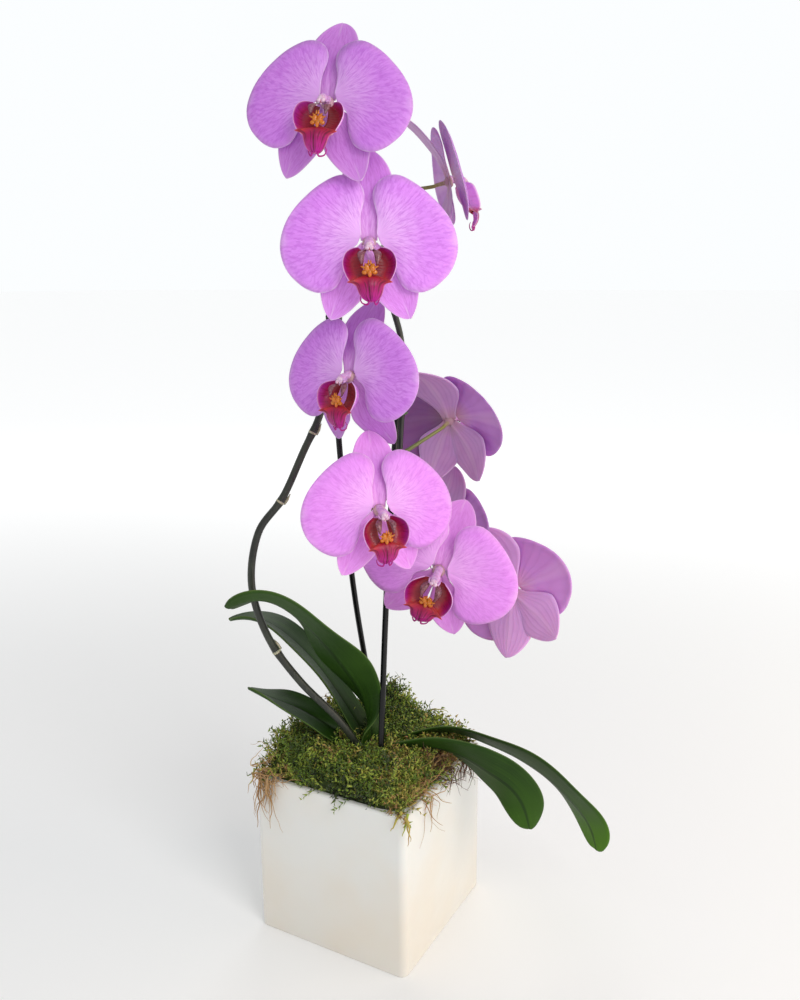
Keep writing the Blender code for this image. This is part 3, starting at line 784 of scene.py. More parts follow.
def make_column(bloom):
    """The column that curves out over the lip, with its anther cap."""
    down = Vector((0, -math.sin(COLUMN_TILT), math.cos(COLUMN_TILT)))
    shares = np.linspace(-0.1, 0.9, 9)
    route = [COLUMN_START + down * COLUMN_LENGTH * t + Vector((0, -0.02 * t * t, 0)) for t in shares]
    radii = [0.055, 0.050, 0.047, 0.046, 0.048, 0.052, 0.055, 0.053, 0.044]
    end = route[-1]
    parts = [tube(route, radii, 20)]
    parts.append(ball(end + Vector((0, 0.002, 0.004)), (0.042, 0.038, 0.034), 1))
    for side in (-1, 1):
        parts.append(ball(end + Vector((side * 0.024, -0.026, 0.022)), (0.025, 0.026, 0.020), 1))
        wing = [(side * 0.044, 0.004, -0.08), (side * 0.060, -0.010, -0.03), (side * 0.050, -0.036, 0.004)]
        wing = smooth_route([end + Vector(p) for p in wing], 4)
        parts.append(tube(wing, [0.015] * len(wing), 8))
    parts.append(ball(end + Vector((0, -0.034, 0.020)), (0.013, 0.018, 0.013), 2))
    parts.append(ball(end + Vector((0, -0.055, 0.006)), (0.010, 0.016, 0.010), 1))
    return bloom.place(joined(parts))


def side_lobe(mirror):
    """A wing of the lip: it stands up beside the column, hollow towards the middle."""
    foot = [(0.05, -0.37, 0.20), (0.07, -0.28, 0.16), (0.06, -0.18, 0.12), (0.045, -0.085, 0.10)]
    free = [(0.155, -0.475, 0.245), (0.225, -0.415, 0.275), (0.270, -0.325, 0.290), (0.285, -0.225, 0.285),
            (0.255, -0.135, 0.26), (0.195, -0.085, 0.22), (0.12, -0.06, 0.16)]
    foot, free = smooth_route(foot, 8), smooth_route(free, 8)

    def place(u, v):
        point = on_route(foot, v).lerp(on_route(free, v), u)
        belly = math.sin(math.pi * u**0.85) * (0.3 + 0.7 * math.sin(math.pi * v))
        point = point + belly * Vector((0.045, -0.008, -0.075))
        point.z += 0.008 * math.sin(10 * v) * u * u
        rim = min((1 - u) * 0.2, v * 0.25 + 0.01, (1 - v) * 0.25 + 0.01)
        point.x *= mirror
        orange = smoothstep((0.34 - v) / 0.3) * smoothstep((u - 0.1) / 0.5) * 0.85
        return point, {"along": u, "across": v, "rim": rim, "tint": orange}

    return thicken(sheet(24, 22, place, (-0.2 * mirror, 0.2, 1)), 0.012, 0, 1)


def midlobe_width(t):
    """Half width of the lip's middle lobe: foot, outspread horns, broad blade and blunt tip."""
    horns = 0.095 * math.exp(-(((t - 0.24) / 0.12) ** 2))
    blade = 0.125 * (1 - 0.45 * smoothstep((t - 0.30) / 0.8)) * smoothstep(t / 0.3)
    return (0.035 + horns + blade) * math.sqrt(max(1 - t**7, 0))


def make_lip(bloom, seed):
    """The lip: two wings, the horned middle lobe, its two tendrils, the callus and two pale teeth."""
    wave = random.Random(seed)
    spine = smooth_route([(0, -0.33, 0.20), (0, -0.40, 0.255), (0, -0.485, 0.285), (0, -0.575, 0.255),
                          (0, -0.645, 0.185)], 8)
    bend = wave.uniform(-0.02, 0.02)

    def middle(u, v):
        side = 2 * v - 1
        width = midlobe_width(u)
        point = on_route(spine, u).copy()
        point.x = side * width + bend * u * u
        horned = math.exp(-(((u - 0.24) / 0.13) ** 2))
        point.y -= 0.040 * side**2 * horned
        point.z += 0.035 * side**2 * horned - 0.045 * side**2 * (1 - horned)
        point.z += 0.016 * math.exp(-((side / 0.16) ** 2)) * (1 - u) + 0.010 * abs(side) ** 6 * u
        rim = min((1 - abs(side)) * width, (1 - u) * 0.4)
        horn = 0.75 * horned * smoothstep(abs(side) * 1.9 - 0.6)
        return point, {"along": u, "across": side * 0.5, "rim": rim + 0.001, "tint": horn}

    parts = [side_lobe(1), side_lobe(-1), thicken(sheet(28, 40, middle, (0, 0, 1)), 0.013, 2, 1)]
    tip = spine[-1]
    for side in (-1, 1):
        curl = [(side * 0.030 + bend, 0.012, 0.0), (side * 0.045 + bend, -0.022, -0.02),
                (side * 0.085, -0.005, -0.035), (side * 0.105, 0.05, -0.03), (side * 0.085, 0.085, -0.01)]
        tendril = smooth_route([tip + Vector(p) for p in curl], 5)
        radii = np.linspace(0.012, 0.004, len(tendril))
        parts.append(tube(tendril, radii, 8, 2, along=0.9, across=0.3, rim=0.1))
        tooth = smooth_route([(0.045, -0.085, 0.165), (0.085, -0.14, 0.255), (0.085, -0.255, 0.285)], 6)

        def blade(u, v, tooth=tooth, side=side):
            point = on_route(tooth, u).copy()
            point.x += (v - 0.45) * 0.085 * math.sin(math.pi * (0.15 + 0.80 * u))
            point.x *= side
            point.z += 0.02 * math.sin(math.pi * v)
            return point, {"along": u, "across": v, "rim": min(v, 1 - v) * 0.08}

        parts.append(thicken(sheet(8, 12, blade, (0, 0, 1)), 0.008, 4, 4))
        parts.append(ball(Vector((side * 0.030, -0.29, 0.265)), (0.034, 0.050, 0.034), 3))
        parts.append(ball(Vector((side * 0.055, -0.335, 0.260)), (0.030, 0.026, 0.020), 3))
        for k in range(3):
            start = Vector((side * (0.012 + 0.022 * k), -0.255 - 0.018 * k, 0.290 - 0.006 * k))
            lean = Vector((side * 0.012 * k, 0.026 - 0.008 * k, 0.008))
            finger = smooth_route([start, start + lean, start + lean * 1.7 - Vector((0, 0, 0.012))], 3)
            parts.append(tube(finger, np.linspace(0.013, 0.004, 7), 8, 3))
    parts.append(ball(Vector((0, -0.33, 0.262)), (0.026, 0.060, 0.022), 3))
    return bloom.place(joined(parts))


# ---------------------------------------------------------------- plant, moss and pot


def leaf_outline(t):
    """Half width along the leaf, as a share of its greatest."""
    base = 0.60 + 0.40 * smoothstep(t / 0.45)
    tip = max((t - 0.55) / 0.45, 0)
    return base * math.sqrt(max(1 - tip**2.4, 0))


def make_leaf(midrib, half_width, base_roll, tip_roll, fresh, seed):
    """A strap leaf: folded along its midrib, thick, with gently waved edges."""
    route = smooth_route(midrib, 12)
    for _ in range(50):
        route[1:-1] = [(a + 2 * b + c) / 4 for a, b, c in zip(route, route[1:], route[2:])]
    wave = random.Random(seed)
    phase = wave.uniform(0, 6.28)

    def place(u, v):
        t, across = 1 - (1 - u) ** 1.35, 2 * v - 1
        point = on_route(route, t)
        along = (on_route(route, t + 0.02) - on_route(route, t - 0.02)).normalized()
        side = along.cross(Vector((0, 0, 1))).normalized()
        side = Matrix.Rotation(-math.radians(base_roll + (tip_roll - base_roll) * t), 3, along) @ side
        width = half_width * leaf_outline(t)
        up = side.cross(along)
        lift = 0.16 * abs(across) ** 1.4 * width - 0.0011 * math.exp(-((across / 0.1) ** 2)) * (1 - t)
        lift += 0.0011 * math.sin(11 * t + phase + 1.5 * across) * across**2 * smoothstep(t * 2)
        rim = min((1 - abs(across)) * width, (1 - t) * 0.08)
        marks = {"along": t, "across": across * 0.5, "rim": rim + 0.0002}
        return point + across * width * side + lift * up, marks

    out = Vector(midrib[1]) - Vector(midrib[0])
    upward = out.normalized().cross(Vector((0, 0, 1))).cross(out)
    bm = sheet(22, 84, place, upward, tint=fresh)
    return thicken(bm, LEAF_THICKNESS)


def make_pot(edge_radius, wall, rim_radius):
    """A square pot with rounded upright edges and a soft rim, hollow down to its floor."""
    bm = new_bmesh()
    bmesh.ops.create_cube(bm, size=1)
    side = 2 * POT_HALF
    bmesh.ops.scale(bm, verts=bm.verts, vec=(side, side, RIM))
    bmesh.ops.translate(bm, verts=bm.verts, vec=(0, 0, RIM / 2))
    upright = [e for e in bm.edges if abs(e.verts[0].co.z - e.verts[1].co.z) > RIM / 2]
    rounded = {"profile": 0.5, "affect": "EDGES", "material": -1}
    bmesh.ops.bevel(bm, geom=upright, offset=edge_radius, segments=10, **rounded)
    top = max(bm.faces, key=lambda f: f.calc_center_median().z + f.normal.z)
    bmesh.ops.inset_region(bm, faces=[top], thickness=wall, use_even_offset=True)
    cavity = bmesh.ops.extrude_face_region(bm, geom=[top])
    floor = [v for v in cavity["geom"] if isinstance(v, bmesh.types.BMVert)]
    bmesh.ops.translate(bm, verts=floor, vec=(0, 0, wall - RIM))
    bmesh.ops.delete(bm, geom=[top], context="FACES_ONLY")
    high = [e for e in bm.edges if all(v.co.z > RIM - 1e-6 for v in e.verts) and len(e.link_faces) == 2]
    high = [e for e in high if e.calc_face_angle(0) > 1.0]
    low = [e for e in bm.edges if all(v.co.z < 1e-6 for v in e.verts) and e.calc_face_angle(0) > 1.0]
    bmesh.ops.bevel(bm, geom=high, offset=rim_radius, segments=6, **rounded)
    bmesh.ops.bevel(bm, geom=low, offset=rim_radius / 2, segments=3, **rounded)
    bmesh.ops.recalc_face_normals(bm, faces=bm.faces)
    return bm


MOSS_RISE, MOSS_EDGE_RISE = 0.019, 0.004
# Each tuft of the moss: place, rise and spread
MOSS_TUFTS = (
    ((-0.006, 0.044), 0.024, 0.015), ((-0.047, -0.036), 0.016, 0.018), ((-0.050, 0.010), 0.012, 0.020)
)
CROWN = Vector((0.012, -0.006))


def moss_height(x, y):
    """Height of the moss over a point: a mound with tufts, which dips at the crown and over the rim."""
    inside = POT_HALF - 0.006
    level = (1 - min(abs(x) / inside, 1) ** 4) * (1 - min(abs(y) / inside, 1) ** 4)
    rise = MOSS_EDGE_RISE + (MOSS_RISE - MOSS_EDGE_RISE) * level
    for place, tuft_rise, spread in MOSS_TUFTS:
        rise += tuft_rise * math.exp(-(((Vector((x, y)) - Vector(place)).length / spread) ** 2))
    rise += 0.004 * noise.noise(Vector((x, y, 0)) * 60) + 0.002 * noise.noise(Vector((x, y, 1)) * 170)
    rise -= 0.007 * math.exp(-(((Vector((x, y)) - CROWN).length / 0.014) ** 2))
    return RIM + rise


def make_mound():
    """The dense body of the moss, which the strands grow out of."""
    half = POT_HALF - 0.0068
    bm = new_bmesh()
    bmesh.ops.create_grid(bm, x_segments=72, y_segments=72, size=half)
    for vert in bm.verts:
        corner = Vector((max(abs(vert.co.x) - half + 0.006, 0), max(abs(vert.co.y) - half + 0.006, 0)))
        if corner.length > 0.006:
            corner *= 0.006 / corner.length
            vert.co.x = math.copysign(half - 0.006 + corner.x, vert.co.x)
            vert.co.y = math.copysign(half - 0.006 + corner.y, vert.co.y)
        vert.co.z = moss_height(vert.co.x, vert.co.y) - 0.0035
    # along 0.3 paints the mound dark, as shade under the strands
    set_marks(bm, bm.verts, tint=0.25, along=0.3)
    bmesh.ops.solidify(bm, geom=bm.faces[:], thickness=0.02)
    return bm


def sprig(leaflets, curl, rng):
    """One strand of moss, a unit long and growing up: a bent thread with pointed leaflets on both sides."""
    shares = np.linspace(0, 1, 7)
    route = [Vector((curl * t * t, 0.10 * math.sin(4 * t), t - 0.25 * abs(curl) * t * t)) for t in shares]
    thread = new_bmesh()
    bmesh.ops.create_cone(thread, cap_ends=True, segments=3, radius1=0.030, radius2=0.008, depth=1)
    bmesh.ops.translate(thread, verts=thread.verts, vec=(0, 0, 0.5))
    upright = [e for e in thread.edges if abs(e.verts[0].co.z - e.verts[1].co.z) > 0.5]
    bmesh.ops.subdivide_edges(thread, edges=upright, cuts=4)
    layer = thread.verts.layers.float["along"]
    for vert in thread.verts:
        t = vert.co.z
        vert.co = on_route(route, t) + Vector((vert.co.x, vert.co.y, 0))
        vert[layer] = t
    parts = [thread]
    for k in range(leaflets):
        t = 0.12 + 0.88 * k / (leaflets - 1)
        long = 0.42 - 0.20 * t
        leaflet = new_bmesh()
        bmesh.ops.create_cone(leaflet, cap_ends=True, segments=3, radius1=0.075, radius2=0.0, depth=long)
        bmesh.ops.scale(leaflet, vec=(1, 0.4, 1), verts=leaflet.verts)
        bmesh.ops.translate(leaflet, vec=(0, 0, long / 2), verts=leaflet.verts)
        spin = Matrix.Rotation(math.pi * k + rng.uniform(-0.6, 0.6), 4, "Z")
        turn = spin @ Matrix.Rotation(rng.uniform(0.6, 1.05), 4, "X")
        placed = Matrix.Translation(on_route(route, t)) @ turn
        bmesh.ops.transform(leaflet, matrix=placed, verts=leaflet.verts)
        set_marks(leaflet, leaflet.verts, along=0.35 + 0.65 * t)
        parts.append(leaflet)
    whole = joined(parts)
    mesh = bpy.data.meshes.new("sprig")
    bmesh.ops.triangulate(whole, faces=whole.faces[:])
    whole.to_mesh(mesh)
    whole.free()
    return mesh


def read_floats(collection, field, width):
    values = np.empty(len(collection) * width, np.float32)
    collection.foreach_get(field, values)
    return values.reshape(-1, width)


def copies(name, source, matrices, tints):
    """One mesh of many copies of another, each with its own tint."""
    places = read_floats(source.vertices, "co", 3)
    along = read_floats(source.attributes["along"].data, "value", 1).ravel()
    corners = np.empty(len(source.loops), np.int32)
    source.loops.foreach_get("vertex_index", corners)
    count = len(matrices)
    matrices = np.array([np.array(m) for m in matrices], np.float32)
    spread = np.einsum("nij,vj->nvi", matrices[:, :3, :3], places) + matrices[:, None, :3, 3]
    faces = corners[None, :] + (np.arange(count, dtype=np.int32) * len(places))[:, None]
    mesh = bpy.data.meshes.new(name)
    mesh.vertices.add(count * len(places))
    mesh.vertices.foreach_set("co", spread.ravel())
    mesh.loops.add(faces.size)
    mesh.loops.foreach_set("vertex_index", faces.ravel())
    mesh.polygons.add(faces.size // 3)
    mesh.polygons.foreach_set("loop_start", np.arange(0, faces.size, 3, dtype=np.int32))
    mesh.update(calc_edges=True)
    marks = {"along": np.tile(along, count), "tint": np.repeat(np.array(tints, np.float32), len(places))}
    for mark, values in marks.items():
        mesh.attributes.new(mark, "FLOAT", "POINT").data.foreach_set("value", values.astype(np.float32))
    return mesh


def moss_spot(rng):
    """A place for a strand and the way that it leans: all over the mound, and raggedly up to the rim."""
    reach = POT_HALF - 0.006
    x, y = rng.uniform(-reach, reach), rng.uniform(-reach, reach)
    out = max(abs(x), abs(y))
    z = moss_height(x, y)
    step = 0.002
    slope = Vector((moss_height(x - step, y) - moss_height(x + step, y),
                    moss_height(x, y - step) - moss_height(x, y + step), 2 * step)).normalized()
    lean = slope + 1.1 * Vector((rng.gauss(0, 1), rng.gauss(0, 1), rng.gauss(0, 0.5)))
    if out > POT_HALF - 0.018:
        inward = Vector((-x, -y, 0)).normalized()
        lean += inward * 1.6 * (1 if rng.random() < 0.9 else -0.8)
    return Vector((x, y, z - 0.004)), lean.normalized()


def clear_of_plant(place, radius=0.010):
    return (place.xy - CROWN).length > radius


def make_strands(name, count, seed, looks):
    """A share of the moss: sprigs scattered over the mound, each turned and tinted by itself."""
    rng = random.Random(seed)
    source = sprig(7, rng.choice((-0.7, 0.7)), rng)
    matrices, tints = [], []
    while len(matrices) < count:
        place, lean = moss_spot(rng)
        if not clear_of_plant(place):
            continue
        size = rng.uniform(0.007, 0.016) * (1.3 if rng.random() < 0.06 else 1)
        turn = Vector((0, 0, 1)).rotation_difference(lean).to_matrix().to_4x4()
        spin = Matrix.Rotation(rng.uniform(0, 6.28), 4, "Z")
        matrices.append(Matrix.Translation(place) @ turn @ spin @ Matrix.Scale(size, 4))
        tuft = 0.5 + 0.5 * noise.noise(place * 45)
        dry = 0.5 * smoothstep((place.x - 0.022) / 0.03)
        dry += 0.6 * smoothstep((-place.x - place.y - 0.085) / 0.03)
        tints.append(min(max(rng.gauss(0.12 + 0.6 * tuft + dry * 0.6, 0.24), 0), 1))
    piece(name, copies(name, source, matrices, tints), "moss", looks)
    bpy.data.meshes.remove(source)


def wandering(start, heading, length, steps, rng, droop=0.0, waver=0.35):
    """A route that wanders off, as a dry strand or a root does."""
    point, heading = Vector(start), Vector(heading).normalized()
    route = [point.copy()]
    for _ in range(steps):
        heading += waver * Vector((rng.gauss(0, 1), rng.gauss(0, 1), rng.gauss(0, 1)))
        heading.z -= droop
        heading.normalize()
        point = point + heading * length / steps
        if abs(point.x) < POT_HALF + 0.001 and abs(point.y) < POT_HALF + 0.001 and point.z < RIM:
            outward = Vector((point.x, 0, 0)) if abs(point.x) > abs(point.y) else Vector((0, point.y, 0))
            point += outward.normalized() * (POT_HALF + 0.001 - outward.length)
        route.append(point.copy())
    return route


def make_litter(name, bundles, looks):
    """Loose strands over the rim: each bundle has a start, a heading, lengths and how many."""
    rng = random.Random(11)
    parts = []
    for start, heading, (short, long), radius, count, look, droop in bundles:
        for _ in range(count):
            away = Vector((rng.gauss(0, 0.0035), rng.gauss(0, 0.0035), rng.gauss(0, 0.0015)))
            route = wandering(Vector(start) + away, heading, rng.uniform(short, long), 9, rng, droop)
            route = smooth_route(route, 3)
            thick = rng.uniform(0.6, 1.3) * radius
            radii = [thick * (1 - 0.8 * i / len(route)) for i in range(len(route))]
            parts.append(tube(route, radii, 4, look, tint=rng.random(), along=0.8))
    piece(name, joined(parts), "moss", looks)


# ---------------------------------------------------------------- settings


def colour_setting(name, description, code):
    return bpy.props.FloatVectorProperty(
        name=name, description=description, subtype="COLOR", size=4, min=0, max=1, default=paint(code)
    )


def length_setting(name, description, default):
    return bpy.props.FloatProperty(name=name, description=description, default=default, min=0, unit="LENGTH")


def count_setting(name, description, default):
    return bpy.props.IntProperty(name=name, description=description, default=default, min=1)


def amount_setting(name, description, default):
    return bpy.props.FloatProperty(name=name, description=description, default=default)


class PotSettings(bpy.types.PropertyGroup):
    """Sizes and colours of the pot."""

    edge_radius: length_setting("Edge radius", "Rounding of the upright edges", 0.006)
    rim_radius: length_setting("Rim radius", "Rounding of the rim", 0.0022)
    wall: length_setting("Wall", "Thickness of the wall", 0.006)
    glaze: colour_setting("Glaze", "Colour of the glaze", "e8e7e3")
    glaze_warm: colour_setting("Glaze, warm", "Colour that clouds the glaze", "e8dccb")


class MossSettings(bpy.types.PropertyGroup):
    """How dense the moss is."""

    strands: count_setting("Strands", "Strands in each share of the moss", 1700)
    shares: count_setting("Shares", "Pieces that the strands are shared over", 4)


class FlowerSettings(bpy.types.PropertyGroup):
    """How fine the flowers' veins are."""

    petal_veins: amount_setting("Petal veins", "Veins across a half turn", 75)
    sepal_veins: amount_setting("Sepal veins", "Veins across a sepal", 40)


class StageSettings(bpy.types.PropertyGroup):
    """Floor, lights and camera."""

    floor_colour: colour_setting("Floor", "Colour of the floor", "f6f6f6")
    sky: amount_setting("Room light", "Strength of the light from all round", 0.60)
    lens: amount_setting("Lens", "Focal length in millimetres", 33.55)


def settings(group):
    return getattr(bpy.context.scene, "orchid_" + group)


# ---------------------------------------------------------------- operators


class ORCHID_OT_pot(bpy.types.Operator):
    """Build the glazed pot and give the bark inside it its look"""

    bl_idname = "orchid.pot"
    bl_label = "Pot"

    def execute(self, context):
        chosen = settings("pot")
        look = glaze_look(tuple(chosen.glaze), tuple(chosen.glaze_warm))
        shape = make_pot(chosen.edge_radius, chosen.wall, chosen.rim_radius)
        piece("pot_body", shape, "pot", [look], sharp=35)
        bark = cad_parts["growing_medium"].data
        bark.materials.clear()
        bark.materials.append(bark_look())
        return {"FINISHED"}


class ORCHID_OT_moss(bpy.types.Operator):
    """Grow the moss, with dry strands and rootlets over the rim"""

    bl_idname = "orchid.moss"
    bl_label = "Moss"

    def execute(self, context):
        chosen = settings("moss")
        fresh = ((0.0, "1e2a08"), (0.25, "40560f"), (0.45, "6f8c1e"), (0.6, "9cab38"))
        dried = ((0.74, "b5a14a"), (0.86, "a8804c"), (1.0, "6b4a28"))
        green = moss_look("moss_green", *fresh, *dried)
        tan = moss_look("moss_dry", (0.0, "8a6238"), (0.5, "b28c5c"), (1.0, "cdb088"))
        root = moss_look("moss_root", (0.0, "3a2416"), (0.5, "5c3c26"), (1.0, "86623e"))
        piece("moss_mound", make_mound(), "moss", [green])
        for share in range(chosen.shares):
            make_strands(f"moss_strands_{share + 1}", chosen.strands, 40 + share, [green])
        edge, top = POT_HALF + 0.0015, RIM + 0.003
        # Start, heading, shortest and longest, radius, how many, which look and how much they droop
        bundles = [
            ((-edge + 0.016, -edge, top - 0.002), (0.1, -0.5, -1.0), (0.020, 0.042), 0.0006, 12, 1, 0.5),
            ((-edge + 0.010, -edge + 0.001, top), (0.2, -0.6, -0.6), (0.012, 0.022), 0.0005, 14, 1, 0.5),
            ((-edge + 0.004, -edge + 0.002, top), (1.0, -0.1, 0.1), (0.020, 0.040), 0.0005, 22, 1, 0.03),
            ((-edge + 0.003, -edge + 0.012, top), (0.3, -0.6, 0.0), (0.010, 0.018), 0.0008, 8, 0, 0.1),
            ((edge - 0.004, 0.012, top), (0.5, -0.5, 0.1), (0.012, 0.026), 0.0004, 10, 2, 0.25),
            ((edge, 0.028, top - 0.002), (0.5, -0.2, -0.6), (0.012, 0.028), 0.0005, 16, 2, 0.35),
            ((edge - 0.006, 0.044, top), (0.6, 0.3, 0.1), (0.010, 0.022), 0.0005, 10, 2, 0.2),
            ((edge - 0.012, -0.036, top + 0.001), (0.2, 1.0, 0.1), (0.020, 0.045), 0.0005, 34, 1, 0.02),
            ((edge - 0.010, -0.010, top + 0.001), (0.1, 1.0, 0.1), (0.020, 0.040), 0.0005, 26, 2, 0.02),
            ((edge - 0.003, -edge + 0.004, top), (0.3, -0.4, -0.6), (0.014, 0.020), 0.0009, 4, 0, 0.4),
            ((-0.006, 0.044, RIM + 0.034), (0.3, 0.2, 0.8), (0.008, 0.020), 0.0006, 26, 0, 0.0),
            ((0.020, 0.050, RIM + 0.014), (0.8, 0.4, 0.8), (0.010, 0.020), 0.0006, 10, 0, 0.1),
        ]
        make_litter("moss_litter", bundles, [green, tan, root])
        return {"FINISHED"}


class ORCHID_OT_leaves(bpy.types.Operator):
    """Grow the crown and the five leaves"""

    bl_idname = "orchid.leaves"
    bl_label = "Leaves"

    def execute(self, context):
        top = leaf_look("leaf_top", "122c04", "426f04", "243c14", "0c1e04", 0.45)
        under = leaf_look("leaf_under", "1e3a0a", "467208", "2f4a1c", "12260a", 0.5)
        fresh = {
            "leaf_left_tall": 0.15,
            "leaf_left_back": 0.1,
            "leaf_left_low": 0.2,
            "leaf_right_long": 1.0,
            "leaf_right_short": 0.35,
        }
        for number, (name, shape) in enumerate(LEAVES.items()):
            blade = make_leaf(*shape, fresh[name], number)
            piece(name + "_blade", blade, name, [top, under], levels=1)
        low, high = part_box("crown")
        middle = (low + high) / 2
        route = [Vector((middle.x, middle.y, z)) for z in np.linspace(low.z, high.z, 6)]
        radii = (0.0040, 0.0052, 0.0054, 0.0050, 0.0042, 0.0026)
        parts = [tube(route, radii, 20, along=0.2, across=0.3, rim=1)]
        for k in range(4):
            sheath = middle + Vector((0.003 * math.cos(1.6 * k), 0.003 * math.sin(1.6 * k), 0.001 * k))
            parts.append(ball(sheath, (0.0030, 0.0030, 0.0055), along=0.2, across=0.3, rim=1))
        piece("crown_stem", joined(parts), "crown", [under])
        return {"FINISHED"}


class ORCHID_OT_spike(bpy.types.Operator):
    """Grow the flower spike, its bracts and the flowers' stalks"""

    bl_idname = "orchid.spike"
    bl_label = "Flower spike"

    def execute(self, context):
        steps = 10
        route = smooth_route(SPIKE_ROUTE, steps)
        last = len(route) - 1
        radii = []
        for i in range(last + 1):
            swell = sum(math.exp(-(((i / steps - node) / 0.10) ** 2)) for node in SPIKE_NODES)
            taper = SPIKE_RADIUS + (SPIKE_TIP_RADIUS - SPIKE_RADIUS) * i / last
            radii.append(taper * (1 + 0.16 * swell))
        piece("flower_spike_stem", tube(route, radii, 16), "flower_spike", [stem_look()])
        pale = soft_look("bract_skin", "b9b39a", "8f8a6c", 420.0)
        bracts = []
        for node in SPIKE_NODES:
            at = round(node * steps)
            ring = route[at - 1 : at + 2]
            wide = radii[at] * 1.07
            band = [ring[0].lerp(ring[1], 0.72), ring[1], ring[1].lerp(ring[2], 0.28)]
            bracts.append(tube(band, (wide * 0.9, wide, wide * 0.9), 16))
            along = (ring[2] - ring[0]).normalized()
            beside = along.orthogonal().normalized() * radii[at]
            rises = ((1.0, 0.0), (1.12, 0.004), (0.95, 0.0085))
            scale = [ring[1] + beside * share + along * rise for share, rise in rises]
            bracts.append(tube(scale, (0.0012, 0.0010, 0.0003), 8))
        piece("flower_spike_bracts", joined(bracts), "flower_spike", [pale])
        skin = stalk_look()
        for number, (joint, *_) in BLOOMS.items():
            bloom = Bloom(number)
            lead = STALK_LEAD / bloom.size
            behind = [bloom.matrix @ Vector((0, 0, -HUB_DEPTH - s)) for s in (lead, lead / 2, -0.02)]
            stalk = smooth_route([Vector(SPIKE_ROUTE[joint])] + behind, 6)
            count = len(stalk)
            thick = [0.0012 + 0.0005 * math.exp(-i / 2) + 0.0004 * (i / count) ** 3 for i in range(count)]
            bm = tube(stalk, thick, 12)
            layer = bm.verts.layers.float["along"]
            for vert in bm.verts:
                nearest = min(range(len(stalk)), key=lambda i: (stalk[i] - vert.co).length)
                vert[layer] = nearest / (len(stalk) - 1)
            piece(f"flower_{number}_stalk", bm, "flower_spike", [skin])
        return {"FINISHED"}


class ORCHID_OT_stakes(bpy.types.Operator):
    """Set the two stakes and the ties that hold the spike to them"""

    bl_idname = "orchid.stakes"
    bl_label = "Stakes and ties"

    def execute(self, context):
        plastic = stake_look()
        for name, places in STAKES.items():
            bow = smooth_route(places, 8)
            down = (bow[0] - bow[1]).normalized()
            foot = bow[0] + down * (bow[0].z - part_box(name)[0].z - 0.001) / -down.z
            rise = (bow[-1] - bow[-2]).normalized()
            route = [foot] + bow[:-1] + [bow[-1] - rise * 0.002, bow[-1] - rise * 0.0006, bow[-1]]
            radii = [STAKE_RADIUS] * (len(route) - 2) + [0.0018, 0.0007]
            piece(name + "_rod", tube(route, radii, 20), name, [plastic], sharp=50)
        wire = soft_look("tie_wire", "3d5a2a", "56733c", 600.0)
        for name in ("tie_left", "tie_right"):
            bm = bmesh.new()
            bm.from_mesh(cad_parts[name].data)
            bmesh.ops.remove_doubles(bm, verts=bm.verts, dist=1e-6)
            piece(name + "_loop", bm, name, [wire], levels=1)
        return {"FINISHED"}


class ORCHID_OT_flowers(bpy.types.Operator):
    """Open the nine flowers, each on its own turn of the spike"""

    bl_idname = "orchid.flowers"
    bl_label = "Flowers"

    def execute(self, context):
        chosen = settings("flower")
        petal = [
            blade_front("petal_front", "b55fce", "d98cf0", "e6b2f4", chosen.petal_veins),
            blade_back("petal_back", "a668ba", "c88ddc", "c8a3a0"),
        ]
        sepal = [
            blade_front("sepal_front", "bf68cc", "dc92ee", "e6acf0", chosen.sepal_veins),
            blade_back("sepal_back", "a56ab0", "d3a0d8", "c4a088"),
        ]
        column = [
            soft_look("column_skin", "d9a9d6", "c084c0", 500.0),
            soft_look("anther_cap", "e6c8dc", "c995b8", 700.0, roughness=0.35),
            soft_look("column_beak", "b8506e", "d8849c", 700.0),
        ]
        tooth = soft_look("lip_tooth", "8c5a64", "5c2434", 900.0, roughness=0.3)
        lip = [lip_inside(), lip_outside(), midlobe_top(), callus_look(), tooth]
        chart = petal_chart(PETAL_ROWS, PETAL_COLUMNS)
        for number, (_, tint, painted_shades, spread, lean) in BLOOMS.items():
            bloom = Bloom(number)
            name = bloom.name
            shape = make_sepals(bloom, tint, painted_shades[0], spread, lean, number)
            piece(name + "_sepal_blades", shape, name + "_sepals", sepal)
            for turn, side in enumerate(("left", "right")):
                shape = make_petal(bloom, chart, side, tint, painted_shades[1 + turn], 10 * number + turn)
                piece(f"{name}_petal_{side}_blade", shape, f"{name}_petal_{side}", petal)
            piece(name + "_column_body", make_column(bloom), name + "_column", column)
            piece(name + "_lip_lobes", make_lip(bloom, number), name + "_lip", lip)
        return {"FINISHED"}


def soft_light(name, place, target, size, power, colour):
    light = bpy.data.lights.new(name, "AREA")
    light.size = size
    light.energy = power
    light.color = colour
    obj = bpy.data.objects.new(name, light)
    obj.location = place
    obj.rotation_euler = (Vector(target) - Vector(place)).to_track_quat("-Z", "Y").to_euler()
    bpy.context.scene.collection.objects.link(obj)


